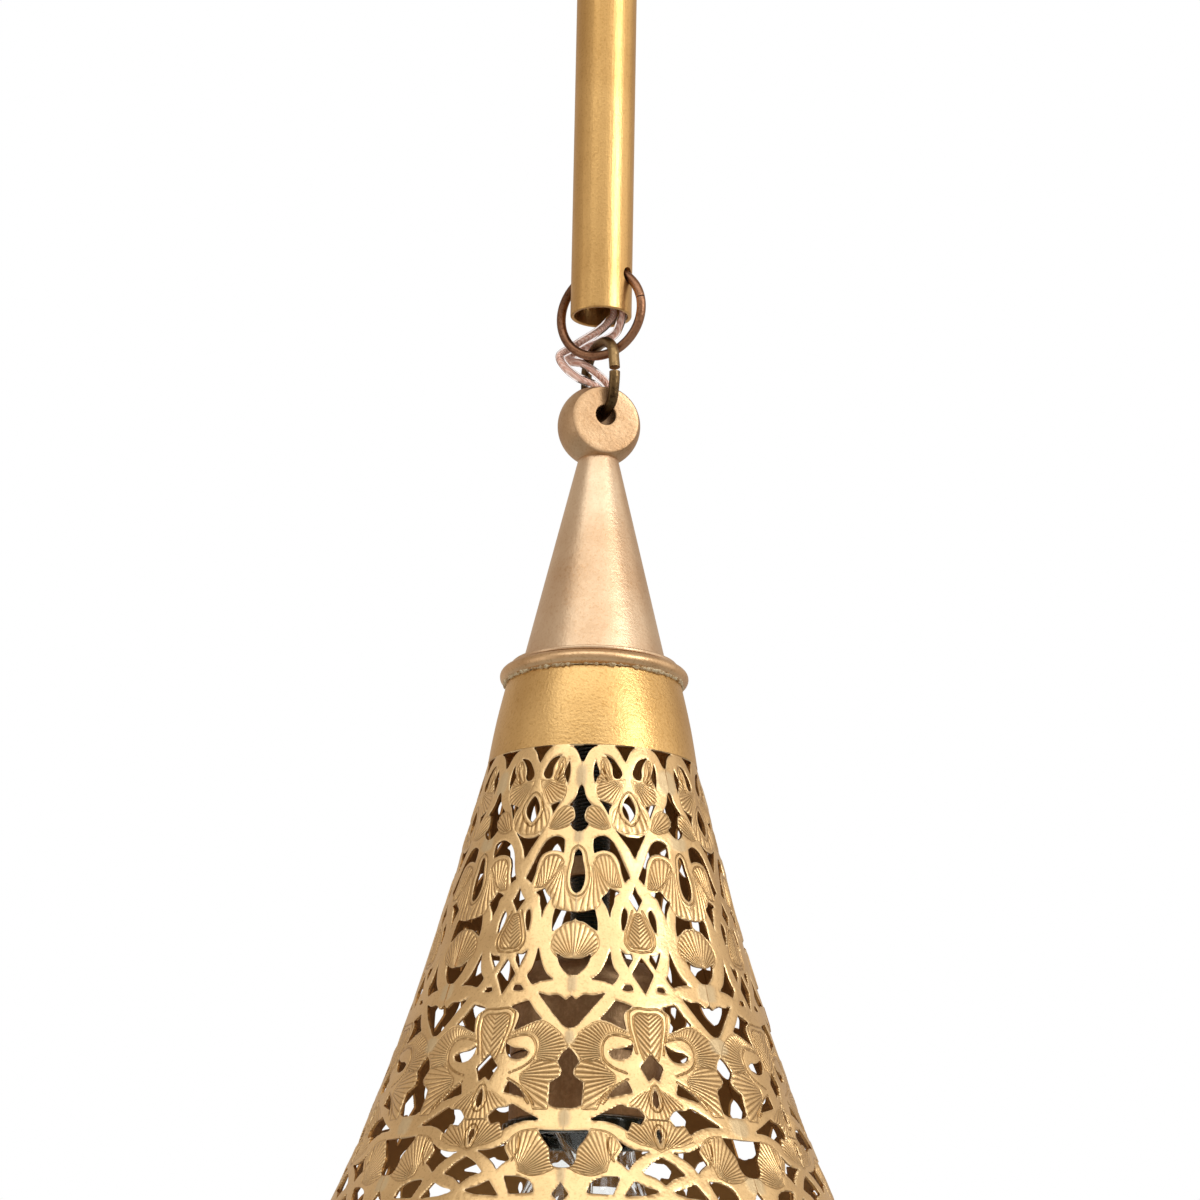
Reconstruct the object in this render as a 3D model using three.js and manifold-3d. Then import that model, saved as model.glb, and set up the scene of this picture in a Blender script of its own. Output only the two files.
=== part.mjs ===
// A pierced brass pendant lamp: ceiling canopy, hanging tube, ring and link, a turned ball and spire,
// and a flared shade soldered from eight pierced gores round a screw-base filament bulb.
// Millimetres and degrees, +Z up. Z = 0 is the ceiling, and the lamp hangs below it.
import * as THREE from 'three';
import { mergeVertices } from 'three/addons/utils/BufferGeometryUtils.js';
import Module from 'manifold-3d';

// Clearances
const SEAT_GAP = 0.3;
const LINK_GAP = 0.5;

// Ceiling bracket and canopy
const BRACKET_LENGTH = 92;
const BRACKET_WIDTH = 18;
const BRACKET_THICKNESS = 2.5;
const BRACKET_SLOT_LENGTH = 14;
const BRACKET_SLOT_WIDTH = 4.6;
const BRACKET_SLOT_SPACING = 44;
const CANOPY_RADIUS = 54;
const CANOPY_WALL = 1;
const CANOPY_DEPTH = 27;
const CANOPY_SIDE_HEIGHT = 6;
const CANOPY_SHELF_DEPTH = 12;
const CANOPY_DOME_RADIUS = 30;
const CANOPY_FLAT_RADIUS = 23;
const CANOPY_SCREW_SPACING = 76;
const CANOPY_SCREW_RADIUS = 1.9;
const BALL_NUT_RADIUS = 4.5;
const TERMINAL_LENGTH = 24;
const TERMINAL_WIDTH = 14;
const TERMINAL_HEIGHT = 13;
const TERMINAL_BORE_RADIUS = 1.8;
const CORD_GRIP_OFFSET = 16;
const CORD_GRIP_RADIUS = 4.6;
const CORD_GRIP_FLANGE = 1.6;

// Canopy loop, whose stud goes up through the canopy and takes a lock nut
const STUD_RADIUS = 4.9;
const STUD_LENGTH = 9;
const NUT_ACROSS_FLATS = 14;
const NUT_HEIGHT = 4;
const LOOP_BASE_RADIUS = 8;
const LOOP_BASE_HEIGHT = 4;
const EYE_RADIUS = 8;
const EYE_WIRE = 3.6;

// Hanging tube, with a cross hole near each end for a ring
const TUBE_RADIUS = 8;
const TUBE_WALL = 1;
const TUBE_LENGTH = 250;
const TUBE_HOLE_RADIUS = 2.3;
const TUBE_HOLE_INSET = 10.3;
const TUBE_TURN = -28;
const RING_RADIUS = 11.8;
const RING_WIRE = 2.4;

// Oval link through the lower ring and the ball
const LINK_WIDTH = 16;
const LINK_HEIGHT = 20.4;
const LINK_WIRE = 2.8;
const LINK_TOP_RISE = 6;
const LINK_FOOT_RISE = 4.5;
const LINK_SLIT = 1.2;
const LINK_SLIT_DROP = 3.2;
const LINK_TURN = -70;

// Ball and spire
const BALL_RADIUS = 10.7;
const BALL_FLATS = 12.2;
const BALL_HOLE_RADIUS = 2.9;
const BALL_HOLE_RISE = 1.3;
const BALL_SEAT_CUT = 0.4;
const BALL_TOP_CUT = 1.6;
const BALL_TURN = 17;
const BALL_STUD_RADIUS = 2.2;
const BALL_STUD_DEPTH = 5.6;
const BALL_STUD_LENGTH = 17;
const BALL_NUT_FLATS = 8;
const BALL_NUT_HEIGHT = 3.6;
const SPIRE_HEIGHT = 54.6;
const SPIRE_TOP_RADIUS = 5.6;
const SPIRE_FOOT_RADIUS = 18.3;
const SPIRE_WALL = 1.2;
const SPIRE_TIP_WALL = 5;
const SPIRE_LIP_RADIUS = 20.6;
const SPIRE_LIP_HEIGHT = 1.3;
const BUSH_DROP = 14.6;
const BUSH_TILT = 55;
const BUSH_RADIUS = 3.7;
const BUSH_BORE_RADIUS = 2.95;
const BUSH_INNER_LENGTH = 3;
const BUSH_OUTER_LENGTH = 5.4;
const BUSH_FLANGE_RADIUS = 4.6;
const BUSH_FLANGE_HEIGHT = 0.8;

// Bead ring, plain collar and the plate inside them
const BEAD_RADIUS = 22;
const BEAD_WIRE = 3.8;
const COLLAR_TOP_RADIUS = 22.2;
const COLLAR_HEIGHT = 20.8;
const COLLAR_WALL = 1;
const PLATE_RADIUS = 21.4;
const PLATE_THICKNESS = 1.5;

// Pierced shade: straight cone plus a flare that grows with the cube of the drop
const GORE_COUNT = 8;
const SHADE_HEIGHT = 170;
const SHADE_NECK_RADIUS = 26.4;
const SHADE_SLOPE = 0.262;
const SHADE_FLARE = 24;
const SHEET = 0.9;
const SEAM_GAP = 0.3;
const RIM_WIRE = 4;

// Threaded rod and lampholder
const ROD_RADIUS = 4.9;
const ROD_BORE_RADIUS = 3.6;
const ROD_LENGTH = 95.5;
const ROD_RISE = 14;
const CHECK_NUT_RADIUS = 7.4;
const CHECK_NUT_HEIGHT = 5;
const CHECK_NUT_RISE = 21.5;
const HOLDER_RADIUS = 19;
const HOLDER_WALL = 1;
const HOLDER_CAP_HEIGHT = 9;
const HOLDER_CAP_FLAT_RADIUS = 7.8;
const HOLDER_CAP_SIDE = 2;
const HOLDER_SHELL_HEIGHT = 13.6;
const HOLDER_SKIRT_HEIGHT = 16;
const HOLDER_RIM_HEIGHT = 4.3;
const HOLDER_RIM_RADIUS = 20.6;
const INSULATOR_WALL = 1.6;
const INSULATOR_FLOOR = 4;
const SCREW_SHELL_RADIUS = 14.2;
const SCREW_SHELL_WALL = 0.5;
const CONTACT_WIDTH = 6;
const CONTACT_THICKNESS = 0.8;

// Bulb
const BULB_BASE_RADIUS = 13.1;
const BULB_BASE_LENGTH = 25;
const BULB_BASE_WALL = 0.8;
const BULB_TIP_RADIUS = 4.5;
const BULB_TIP_HEIGHT = 1.5;
const BULB_SHOULDER_HEIGHT = 3;
const BULB_CHAMFER = 2;
const BULB_RADIUS = 30;
const BULB_LENGTH = 103;
const BULB_NECK_RADIUS = 12;
const BULB_NECK_LENGTH = 2;
const GLASS_SEAT_DEPTH = 5;
const GLASS_WALL = 0.9;
const STEM_RADIUS = 2;
const STEM_FLARE_GAP = 6;
const FILAMENT_DROP = 18;
const FILAMENT_COUNT = 4;
const FILAMENT_LENGTH = 34;
const FILAMENT_RADIUS = 7;
const FILAMENT_THICKNESS = 1.4;
const HUB_THICKNESS = 1.2;

// Flex
const CORE_RADIUS = 1.2;
const TWIN_WIDTH = 5.1;

// Facets round a circle
const ROUND_FINE = 32;
const ROUND = 24;
const ROUND_SMALL = 16;
const GLASS_SIDES = 20;
const WIRE_SIDES = 6;

// Heights, worked out down the chain from the ceiling
const canopyBottom = -CANOPY_DEPTH;
const loopBaseBottom = canopyBottom - SEAT_GAP - LOOP_BASE_HEIGHT;
const eyeCentre = loopBaseBottom - EYE_RADIUS + EYE_WIRE / 4;
const eyeBottom = eyeCentre - EYE_RADIUS;
const upperRingCentre = eyeBottom + EYE_WIRE / 2 + RING_WIRE / 2 + SEAT_GAP - RING_RADIUS;
const ringHoleRise = Math.sqrt(RING_RADIUS ** 2 - (TUBE_RADIUS - TUBE_WALL / 2) ** 2);
const tubeTop = upperRingCentre - ringHoleRise + TUBE_HOLE_INSET;
const tubeBottom = tubeTop - TUBE_LENGTH;
const lowerRingCentre = tubeBottom + TUBE_HOLE_INSET - ringHoleRise;
const ringBottom = lowerRingCentre - RING_RADIUS;
const linkTop = ringBottom + RING_WIRE / 2 + LINK_WIRE / 2 + LINK_GAP;
const linkBottom = linkTop - LINK_HEIGHT;
const ballReach = BALL_FLATS / LINK_WIDTH;
const linkLevel = Math.sqrt(1 - ballReach ** 2);
const linkRiseInBall = LINK_FOOT_RISE * (1 - linkLevel);
const linkSlopeInBall = (2 * LINK_FOOT_RISE * ballReach) / (LINK_WIDTH * linkLevel);
const linkHalfInBall = (LINK_WIRE / 2) * Math.hypot(1, linkSlopeInBall);
const ballHole = linkBottom + linkRiseInBall + linkHalfInBall + SEAT_GAP - BALL_HOLE_RADIUS;
const ballCentre = ballHole - BALL_HOLE_RISE;
const ballSeat = ballCentre - BALL_RADIUS + BALL_SEAT_CUT;
const spireTop = ballSeat - SEAT_GAP;
const spireFoot = spireTop - SPIRE_HEIGHT;
const plateTop = spireFoot - SEAT_GAP;
const beadCentre = plateTop - PLATE_THICKNESS - SEAT_GAP - BEAD_WIRE / 2;
const collarTop = beadCentre - BEAD_WIRE / 2 - SEAT_GAP;
const shadeTop = collarTop - COLLAR_HEIGHT - SEAT_GAP;
const shadeFoot = shadeTop - SHADE_HEIGHT;
const rodTop = plateTop + ROD_RISE;
const rodBottom = rodTop - ROD_LENGTH;
const capTop = rodBottom + HOLDER_CAP_HEIGHT / 2;
const shellTop = capTop - HOLDER_CAP_HEIGHT - SEAT_GAP;
const skirtTop = shellTop - HOLDER_SHELL_HEIGHT - SEAT_GAP;
const holderRimTop = skirtTop - HOLDER_SKIRT_HEIGHT - SEAT_GAP;
const insulatorTop = shellTop - 2 * HOLDER_WALL;
const contactTop = insulatorTop - INSULATOR_FLOOR - SEAT_GAP;
const bulbTop = contactTop - CONTACT_THICKNESS - SEAT_GAP;

const wasm = await Module();
wasm.setup();

// Merges shared corners, drops triangles with no area and turns the faces outwards.
function closed(geometry) {
  const bare = geometry.clone();
  bare.deleteAttribute('normal');
  bare.deleteAttribute('uv');
  const merged = mergeVertices(bare, 1e-4);
  const source = merged.index.array;
  const kept = [];
  for (let i = 0; i < source.length; i += 3) {
    const [a, b, c] = source.slice(i, i + 3);
    if (a !== b && b !== c && c !== a) kept.push(a, b, c);
  }
  const position = merged.attributes.position;
  const corner = [new THREE.Vector3(), new THREE.Vector3(), new THREE.Vector3()];
  let volume = 0;
  for (let i = 0; i < kept.length; i += 3) {
    corner.forEach((point, k) => point.fromBufferAttribute(position, kept[i + k]));
    volume += corner[0].dot(corner[1].clone().cross(corner[2]));
  }
  if (volume < 0) kept.reverse();
  merged.setIndex(kept);
  return merged;
}

function toManifold(geometry) {
  const tidy = closed(geometry);
  return new wasm.Manifold(new wasm.Mesh({
    numProp: 3,
    vertProperties: new Float32Array(tidy.attributes.position.array),
    triVerts: new Uint32Array(tidy.index.array),
  }));
}

function fromManifold(solid) {
  const mesh = solid.getMesh();
  const geometry = new THREE.BufferGeometry();
  geometry.setAttribute('position', new THREE.BufferAttribute(new Float32Array(mesh.vertProperties), 3));
  geometry.setIndex(new THREE.BufferAttribute(new Uint32Array(mesh.triVerts), 1));
  return geometry;
}

function cut(geometry, ...tools) {
  let solid = toManifold(geometry);
  for (const tool of tools) solid = solid.subtract(toManifold(tool));
  return fromManifold(solid);
}

function join(...geometries) {
  let solid = toManifold(geometries[0]);
  for (const other of geometries.slice(1)) solid = solid.add(toManifold(other));
  return fromManifold(solid);
}

// A profile of [radius, height] points turned about Z.
function turned(profile, sides = ROUND) {
  const points = profile.map(([radius, height]) => new THREE.Vector2(radius, height));
  return new THREE.LatheGeometry([...points, points[0]], sides).rotateX(Math.PI / 2);
}

// A cylinder along Z from one height to another.
function rod(radius, low, high, sides = ROUND_SMALL) {
  return turned([[0, low], [radius, low], [radius, high], [0, high]], sides);
}

// A pipe along Z.
function pipe(outer, inner, low, high, sides = ROUND) {
  return turned([[inner, low], [outer, low], [outer, high], [inner, high]], sides);
}

// A hexagon nut with a round hole, standing on Z = 0.
function hexNut(acrossFlats, bore, height) {
  const body = rod(acrossFlats / Math.sqrt(3), 0, height, 6);
  return cut(body, rod(bore, -1, height + 1, ROUND_SMALL));
}

// A wall of even thickness on the inner side of a turned profile.
function shellProfile(outer, wall) {
  const inner = outer.map(([radius, height], i) => {
    const before = outer[Math.max(i - 1, 0)];
    const after = outer[Math.min(i + 1, outer.length - 1)];
    const run = [after[0] - before[0], after[1] - before[1]];
    const length = Math.hypot(...run);
    return [radius + (wall * run[1]) / length, height - (wall * run[0]) / length];
  });
  return [...outer, ...inner.reverse()];
}

// Points along a quarter ellipse from one profile point to another, leaving along the height first.
function quarter([r0, z0], [r1, z1], steps) {
  return Array.from({ length: steps + 1 }, (_, i) => {
    const turn = (i / steps) * Math.PI / 2;
    return [r1 + (r0 - r1) * Math.cos(turn), z0 + (z1 - z0) * Math.sin(turn)];
  });
}

const finish = (color, roughness, metalness, more = {}) =>
  new THREE.MeshStandardMaterial({ color, roughness, metalness, ...more });
const satinBrass = () => finish(0xb8944a, 0.35, 1);
const paleBrass = () => finish(0xc9a877, 0.4, 1);
const antiqueBrass = () => finish(0x6e5636, 0.45, 1);
const copper = () => finish(0x8f5f45, 0.4, 1);
const steel = () => finish(0x9a9a98, 0.35, 1);
const blackMetal = () => finish(0x1d211c, 0.3, 0.6);
const darkCopper = () => finish(0x7d5038, 0.5, 0.8);
const whitePlastic = () => finish(0xe8e4da, 0.5, 0);
const clearFlex = () => finish(0xd9a892, 0.25, 0, { transparent: true, opacity: 0.7 });
const clearGlass = () => finish(0xf2f4f2, 0.05, 0, { transparent: true, opacity: 0.3 });

const lamp = new THREE.Group();

function group(parent, height, turn = 0) {
  const made = new THREE.Group();
  made.position.z = height;
  made.rotation.z = THREE.MathUtils.degToRad(turn);
  parent.add(made);
  return made;
}

function place(parent, name, geometry, material, position = [0, 0, 0]) {
  const mesh = new THREE.Mesh(closed(geometry), material);
  mesh.name = name;
  mesh.position.set(...position);
  parent.add(mesh);
  return mesh;
}

// Ceiling bracket: a flat strap with two slots for the ceiling screws and two tapped holes
function ceilingBracket() {
  const strap = new THREE.BoxGeometry(BRACKET_LENGTH, BRACKET_WIDTH, BRACKET_THICKNESS);
  const slotShape = new THREE.Shape();
  const half = (BRACKET_SLOT_LENGTH - BRACKET_SLOT_WIDTH) / 2;
  slotShape.absarc(half, 0, BRACKET_SLOT_WIDTH / 2, -Math.PI / 2, Math.PI / 2);
  slotShape.absarc(-half, 0, BRACKET_SLOT_WIDTH / 2, Math.PI / 2, Math.PI * 1.5);
  const slot = new THREE.ExtrudeGeometry(slotShape, {
    depth: BRACKET_THICKNESS * 2,
    bevelEnabled: false,
    curveSegments: 5,
  }).translate(0, 0, -BRACKET_THICKNESS);
  const holeRadius = CANOPY_SCREW_RADIUS + SEAT_GAP;
  const hole = rod(holeRadius, -BRACKET_THICKNESS, BRACKET_THICKNESS, 12);
  const tools = [-1, 1].flatMap((side) => [
    slot.clone().translate((side * BRACKET_SLOT_SPACING) / 2, 0, 0),
    hole.clone().translate((side * CANOPY_SCREW_SPACING) / 2, 0, 0),
  ]);
  return cut(strap, ...tools);
}

const ceiling = group(lamp, 0);
place(ceiling, 'ceiling_bracket', ceilingBracket(), steel(), [0, 0, -BRACKET_THICKNESS / 2]);

// Canopy: a spun dish with a flat shelf for the screws and a flat foot for the loop
function canopy() {
  const shoulder = [CANOPY_RADIUS - (CANOPY_SHELF_DEPTH - CANOPY_SIDE_HEIGHT), -CANOPY_SHELF_DEPTH];
  const outer = [
    [CANOPY_RADIUS, -SEAT_GAP],
    ...quarter([CANOPY_RADIUS, -CANOPY_SIDE_HEIGHT], shoulder, 2),
    ...quarter([CANOPY_DOME_RADIUS, -CANOPY_SHELF_DEPTH], [CANOPY_FLAT_RADIUS, -CANOPY_DEPTH], 2),
    [STUD_RADIUS + SEAT_GAP, -CANOPY_DEPTH],
  ];
  const dish = turned(shellProfile(outer, CANOPY_WALL));
  const deep = CANOPY_DEPTH + 2 * CANOPY_WALL;
  const grip = rod(CORD_GRIP_RADIUS + SEAT_GAP, -deep, -CANOPY_SHELF_DEPTH).translate(0, CORD_GRIP_OFFSET, 0);
  const screws = [-1, 1].map((side) =>
    rod(CANOPY_SCREW_RADIUS + SEAT_GAP, -deep, 0, 12).translate((side * CANOPY_SCREW_SPACING) / 2, 0, 0));
  return cut(dish, grip, ...screws);
}
place(ceiling, 'canopy', canopy(), satinBrass());

const shelfFace = -CANOPY_SHELF_DEPTH;
for (const [number, side] of [[1, -1], [2, 1]]) {
  const x = (side * CANOPY_SCREW_SPACING) / 2;
  const screw = rod(CANOPY_SCREW_RADIUS, shelfFace - BALL_NUT_RADIUS, -SEAT_GAP, 12);
  place(ceiling, `canopy_screw_${number}`, screw, steel(), [x, 0, 0]);
  const ball = new THREE.SphereGeometry(BALL_NUT_RADIUS, 12, 7).rotateX(Math.PI / 2);
  const bored = cut(ball, rod(CANOPY_SCREW_RADIUS + SEAT_GAP, -SEAT_GAP * 2, BALL_NUT_RADIUS * 2, 12));
  place(ceiling, `canopy_ball_nut_${number}`, bored, satinBrass(), [x, 0, shelfFace - BALL_NUT_RADIUS]);
}

// Terminal block under the bracket, where the mains joins the flex
function terminalBlock() {
  const block = new THREE.BoxGeometry(TERMINAL_LENGTH, TERMINAL_WIDTH, TERMINAL_HEIGHT);
  const bore = rod(TERMINAL_BORE_RADIUS, -TERMINAL_WIDTH, TERMINAL_WIDTH, 8).rotateX(Math.PI / 2);
  return cut(block, ...[-1, 1].map((side) => bore.clone().translate((side * TERMINAL_LENGTH) / 4, 0, 0)));
}
const terminalCentre = -BRACKET_THICKNESS - SEAT_GAP - TERMINAL_HEIGHT / 2;
place(ceiling, 'terminal_block', terminalBlock(), whitePlastic(), [0, 0, terminalCentre]);

// Cord grip: a bush pushed up through the canopy, with its flange outside
function cordGrip() {
  const bore = TWIN_WIDTH / 2 + SEAT_GAP;
  const below = -SEAT_GAP - CORD_GRIP_FLANGE;
  const top = CORD_GRIP_RADIUS;
  return turned([
    [bore, below],
    [CORD_GRIP_RADIUS + CORD_GRIP_FLANGE, below],
    [CORD_GRIP_RADIUS + CORD_GRIP_FLANGE, -SEAT_GAP],
    [CORD_GRIP_RADIUS, -SEAT_GAP],
    [CORD_GRIP_RADIUS, top],
    [bore, top],
  ], ROUND_SMALL);
}
place(ceiling, 'cord_grip', cordGrip(), whitePlastic(), [0, CORD_GRIP_OFFSET, canopyBottom]);

// Loop: a base with an eye below it and a stud above it, and the lock nut inside the canopy
function canopyLoop() {
  const base = rod(LOOP_BASE_RADIUS, loopBaseBottom, canopyBottom - SEAT_GAP, ROUND);
  const stud = rod(STUD_RADIUS, loopBaseBottom + LOOP_BASE_HEIGHT / 2, canopyBottom + STUD_LENGTH);
  const eye = new THREE.TorusGeometry(EYE_RADIUS, EYE_WIRE / 2, 8, ROUND);
  eye.rotateX(Math.PI / 2).rotateZ(Math.PI / 2).translate(0, 0, eyeCentre);
  return join(base, stud, eye);
}
const turnedWithTube = group(lamp, 0, TUBE_TURN);
place(turnedWithTube, 'canopy_loop', canopyLoop(), satinBrass());
const lockNut = hexNut(NUT_ACROSS_FLATS, STUD_RADIUS + SEAT_GAP, NUT_HEIGHT);
place(ceiling, 'loop_lock_nut', lockNut, steel(), [0, 0, canopyBottom + CANOPY_WALL + SEAT_GAP]);

// Split rings through the tube's cross holes
const ringShape = () => new THREE.TorusGeometry(RING_RADIUS, RING_WIRE / 2, 8, ROUND).rotateX(Math.PI / 2);
place(turnedWithTube, 'upper_ring', ringShape(), copper(), [0, 0, upperRingCentre]);
place(turnedWithTube, 'lower_ring', ringShape(), copper(), [0, 0, lowerRingCentre]);

// Hanging tube
function hangingTube() {
  const body = pipe(TUBE_RADIUS, TUBE_RADIUS - TUBE_WALL, 0, TUBE_LENGTH);
  const drill = rod(TUBE_HOLE_RADIUS, -TUBE_RADIUS * 2, TUBE_RADIUS * 2, 12).rotateY(Math.PI / 2);
  const low = drill.clone().translate(0, 0, TUBE_HOLE_INSET);
  const high = drill.clone().translate(0, 0, TUBE_LENGTH - TUBE_HOLE_INSET);
  return cut(body, low, high);
}
place(turnedWithTube, 'hanging_tube', hangingTube(), satinBrass(), [0, 0, tubeBottom]);

// Oval link: an elliptical arch over straight legs and a flatter elliptical foot, open by a slit in one leg
class LinkCurve extends THREE.Curve {
  getPoint(t) {
    const half = LINK_WIDTH / 2;
    const legTop = LINK_HEIGHT - LINK_TOP_RISE;
    const legLength = legTop - LINK_FOOT_RISE;
    const underSlit = legLength - LINK_SLIT_DROP - LINK_SLIT;
    const stretches = [
      [underSlit, (u) => [half, LINK_FOOT_RISE + underSlit * (1 - u)]],
      [Math.PI * (half + LINK_FOOT_RISE) / 2, (u) =>
        [half * Math.cos(Math.PI * u), LINK_FOOT_RISE - LINK_FOOT_RISE * Math.sin(Math.PI * u)]],
      [legLength, (u) => [-half, LINK_FOOT_RISE + legLength * u]],
      [Math.PI * (half + LINK_TOP_RISE) / 2, (u) =>
        [-half * Math.cos(Math.PI * u), legTop + LINK_TOP_RISE * Math.sin(Math.PI * u)]],
      [LINK_SLIT_DROP, (u) => [half, legTop - LINK_SLIT_DROP * u]],
    ];
    const total = stretches.reduce((sum, [length]) => sum + length, 0);
    let left = t * total;
    for (const [length, at] of stretches) {
      if (left <= length) {
        const [x, z] = at(left / length);
        return new THREE.Vector3(x, 0, z);
      }
      left -= length;
    }
    return new THREE.Vector3(half, 0, legTop - LINK_SLIT_DROP);
  }
}

// A round or flattened bar along a curve; a round one has 8 sides.
function barAlong(curve, steps, width, thickness = width, turn = 0, sides = 8) {
  const section = new THREE.Shape(Array.from({ length: sides }, (_, i) => {
    const angle = ((i + 0.5) / sides) * Math.PI * 2;
    const point = new THREE.Vector2((width / 2) * Math.cos(angle), (thickness / 2) * Math.sin(angle));
    return point.rotateAround(new THREE.Vector2(), turn);
  }));
  return new THREE.ExtrudeGeometry(section, { steps, bevelEnabled: false, extrudePath: curve });
}
const linkGroup = group(lamp, linkBottom, LINK_TURN);
place(linkGroup, 'ball_link', barAlong(new LinkCurve(), 30, LINK_WIRE), antiqueBrass());

// Ball with two flats, a level top, a cross hole for the link and a tapped hole below for its stud
function finialBall() {
  const ball = new THREE.SphereGeometry(BALL_RADIUS, 18, 12).rotateX(Math.PI / 2);
  const slab = BALL_RADIUS;
  const flat = new THREE.BoxGeometry(BALL_RADIUS * 3, slab, BALL_RADIUS * 3);
  const offset = BALL_FLATS / 2 + slab / 2;
  const crossHole = rod(BALL_HOLE_RADIUS, -BALL_RADIUS, BALL_RADIUS).rotateX(Math.PI / 2);
  const slice = new THREE.BoxGeometry(BALL_RADIUS * 2, BALL_RADIUS * 2, BALL_RADIUS);
  const seatDrop = -BALL_RADIUS + BALL_SEAT_CUT - BALL_RADIUS / 2;
  const topRise = BALL_RADIUS - BALL_TOP_CUT + BALL_RADIUS / 2;
  const stud = rod(BALL_STUD_RADIUS + SEAT_GAP, -BALL_RADIUS * 2, -BALL_RADIUS + BALL_STUD_DEPTH, 12);
  return cut(
    ball,
    flat.clone().translate(0, offset, 0),
    flat.clone().translate(0, -offset, 0),
    crossHole.translate(0, 0, BALL_HOLE_RISE),
    slice.clone().translate(0, 0, seatDrop),
    slice.clone().translate(0, 0, topRise),
    stud,
  );
}
const ballGroup = group(lamp, ballCentre, BALL_TURN);
place(ballGroup, 'finial_ball', finialBall(), paleBrass());

const studTop = ballCentre - BALL_RADIUS + BALL_STUD_DEPTH - SEAT_GAP;
const spireCavityTop = spireTop - SPIRE_TIP_WALL;
place(lamp, 'finial_stud', rod(BALL_STUD_RADIUS, -BALL_STUD_LENGTH, 0, 12), steel(), [0, 0, studTop]);
const smallNut = hexNut(BALL_NUT_FLATS, BALL_STUD_RADIUS + SEAT_GAP, BALL_NUT_HEIGHT);
place(lamp, 'finial_nut', smallNut, steel(), [0, 0, spireCavityTop - SEAT_GAP - BALL_NUT_HEIGHT]);

// Spire: a thin hollow cone with a solid tip, a lip at its foot and a slanted hole behind for the flex
const spireRadius = (drop) =>
  SPIRE_TOP_RADIUS + ((SPIRE_FOOT_RADIUS - SPIRE_TOP_RADIUS) * drop) / (SPIRE_HEIGHT - SPIRE_LIP_HEIGHT);

// Turns a shape made along Z to the slant of the flex hole and moves it to the hole.
function atBush(geometry) {
  return geometry
    .rotateX(THREE.MathUtils.degToRad(-BUSH_TILT))
    .translate(0, spireRadius(BUSH_DROP), spireTop - BUSH_DROP);
}

function spire() {
  const lipTop = spireFoot + SPIRE_LIP_HEIGHT;
  const cone = turned([
    [BALL_STUD_RADIUS + SEAT_GAP, spireTop],
    [SPIRE_TOP_RADIUS, spireTop],
    [SPIRE_FOOT_RADIUS, lipTop],
    [SPIRE_LIP_RADIUS, lipTop],
    [SPIRE_LIP_RADIUS, spireFoot],
    [SPIRE_FOOT_RADIUS - SPIRE_WALL, spireFoot],
    [spireRadius(SPIRE_TIP_WALL) - SPIRE_WALL, spireCavityTop],
    [BALL_STUD_RADIUS + SEAT_GAP, spireCavityTop],
  ]);
  return cut(cone, atBush(rod(BUSH_RADIUS + SEAT_GAP, -2 * BUSH_RADIUS, 3 * BUSH_RADIUS)));
}
place(lamp, 'spire_cone', spire(), paleBrass());

// Bush in the spire: a plug that follows the slanted hole, with a flange that stands outside the cone
function cordBush() {
  const flangeHigh = BUSH_OUTER_LENGTH + BUSH_FLANGE_HEIGHT;
  return atBush(turned([
    [BUSH_BORE_RADIUS, -BUSH_INNER_LENGTH],
    [BUSH_RADIUS, -BUSH_INNER_LENGTH],
    [BUSH_RADIUS, BUSH_OUTER_LENGTH],
    [BUSH_FLANGE_RADIUS, BUSH_OUTER_LENGTH],
    [BUSH_FLANGE_RADIUS, flangeHigh],
    [BUSH_BORE_RADIUS, flangeHigh],
  ], ROUND_SMALL));
}
place(lamp, 'cord_bush', cordBush(), whitePlastic());

// Bead ring, plate with its two nuts, and the plain collar
const bead = new THREE.TorusGeometry(BEAD_RADIUS, BEAD_WIRE / 2, WIRE_SIDES, ROUND_FINE);
place(lamp, 'bead_ring', bead, satinBrass(), [0, 0, beadCentre]);
const plate = pipe(PLATE_RADIUS, ROD_RADIUS + SEAT_GAP, plateTop - PLATE_THICKNESS, plateTop);
place(lamp, 'bridge_plate', plate, satinBrass());
const rodNut = () => hexNut(NUT_ACROSS_FLATS, ROD_RADIUS + SEAT_GAP, NUT_HEIGHT);
place(lamp, 'rod_nut_upper', rodNut(), steel(), [0, 0, plateTop + SEAT_GAP]);
place(lamp, 'rod_nut_lower', rodNut(), steel(), [0, 0, plateTop - PLATE_THICKNESS - SEAT_GAP - NUT_HEIGHT]);

const collarFoot = collarTop - COLLAR_HEIGHT;
const collar = turned([
  [COLLAR_TOP_RADIUS - COLLAR_WALL, collarTop],
  [COLLAR_TOP_RADIUS, collarTop],
  [SHADE_NECK_RADIUS, collarFoot],
  [SHADE_NECK_RADIUS - COLLAR_WALL, collarFoot],
], ROUND_FINE);
place(lamp, 'neck_collar', collar, satinBrass());

// Openwork of one gore. Across: 0 at one seam, 22.5 at the middle and 45 at the other seam.
// Down: millimetres below the collar on a shade 170 high. The left half is drawn and mirrored.
const DESIGN_WIDTH = 45;
const DESIGN_HEIGHT = 170;
const REPEAT_FROM = 64;
const REPEAT_UNTIL = 111;
const REPEAT_TO = 116;
const REPEAT_SCALE = 1.07;
const NECK_STEPS = 4;
const FOOT_STEPS = 6;
const middle = DESIGN_WIDTH / 2;

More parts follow.
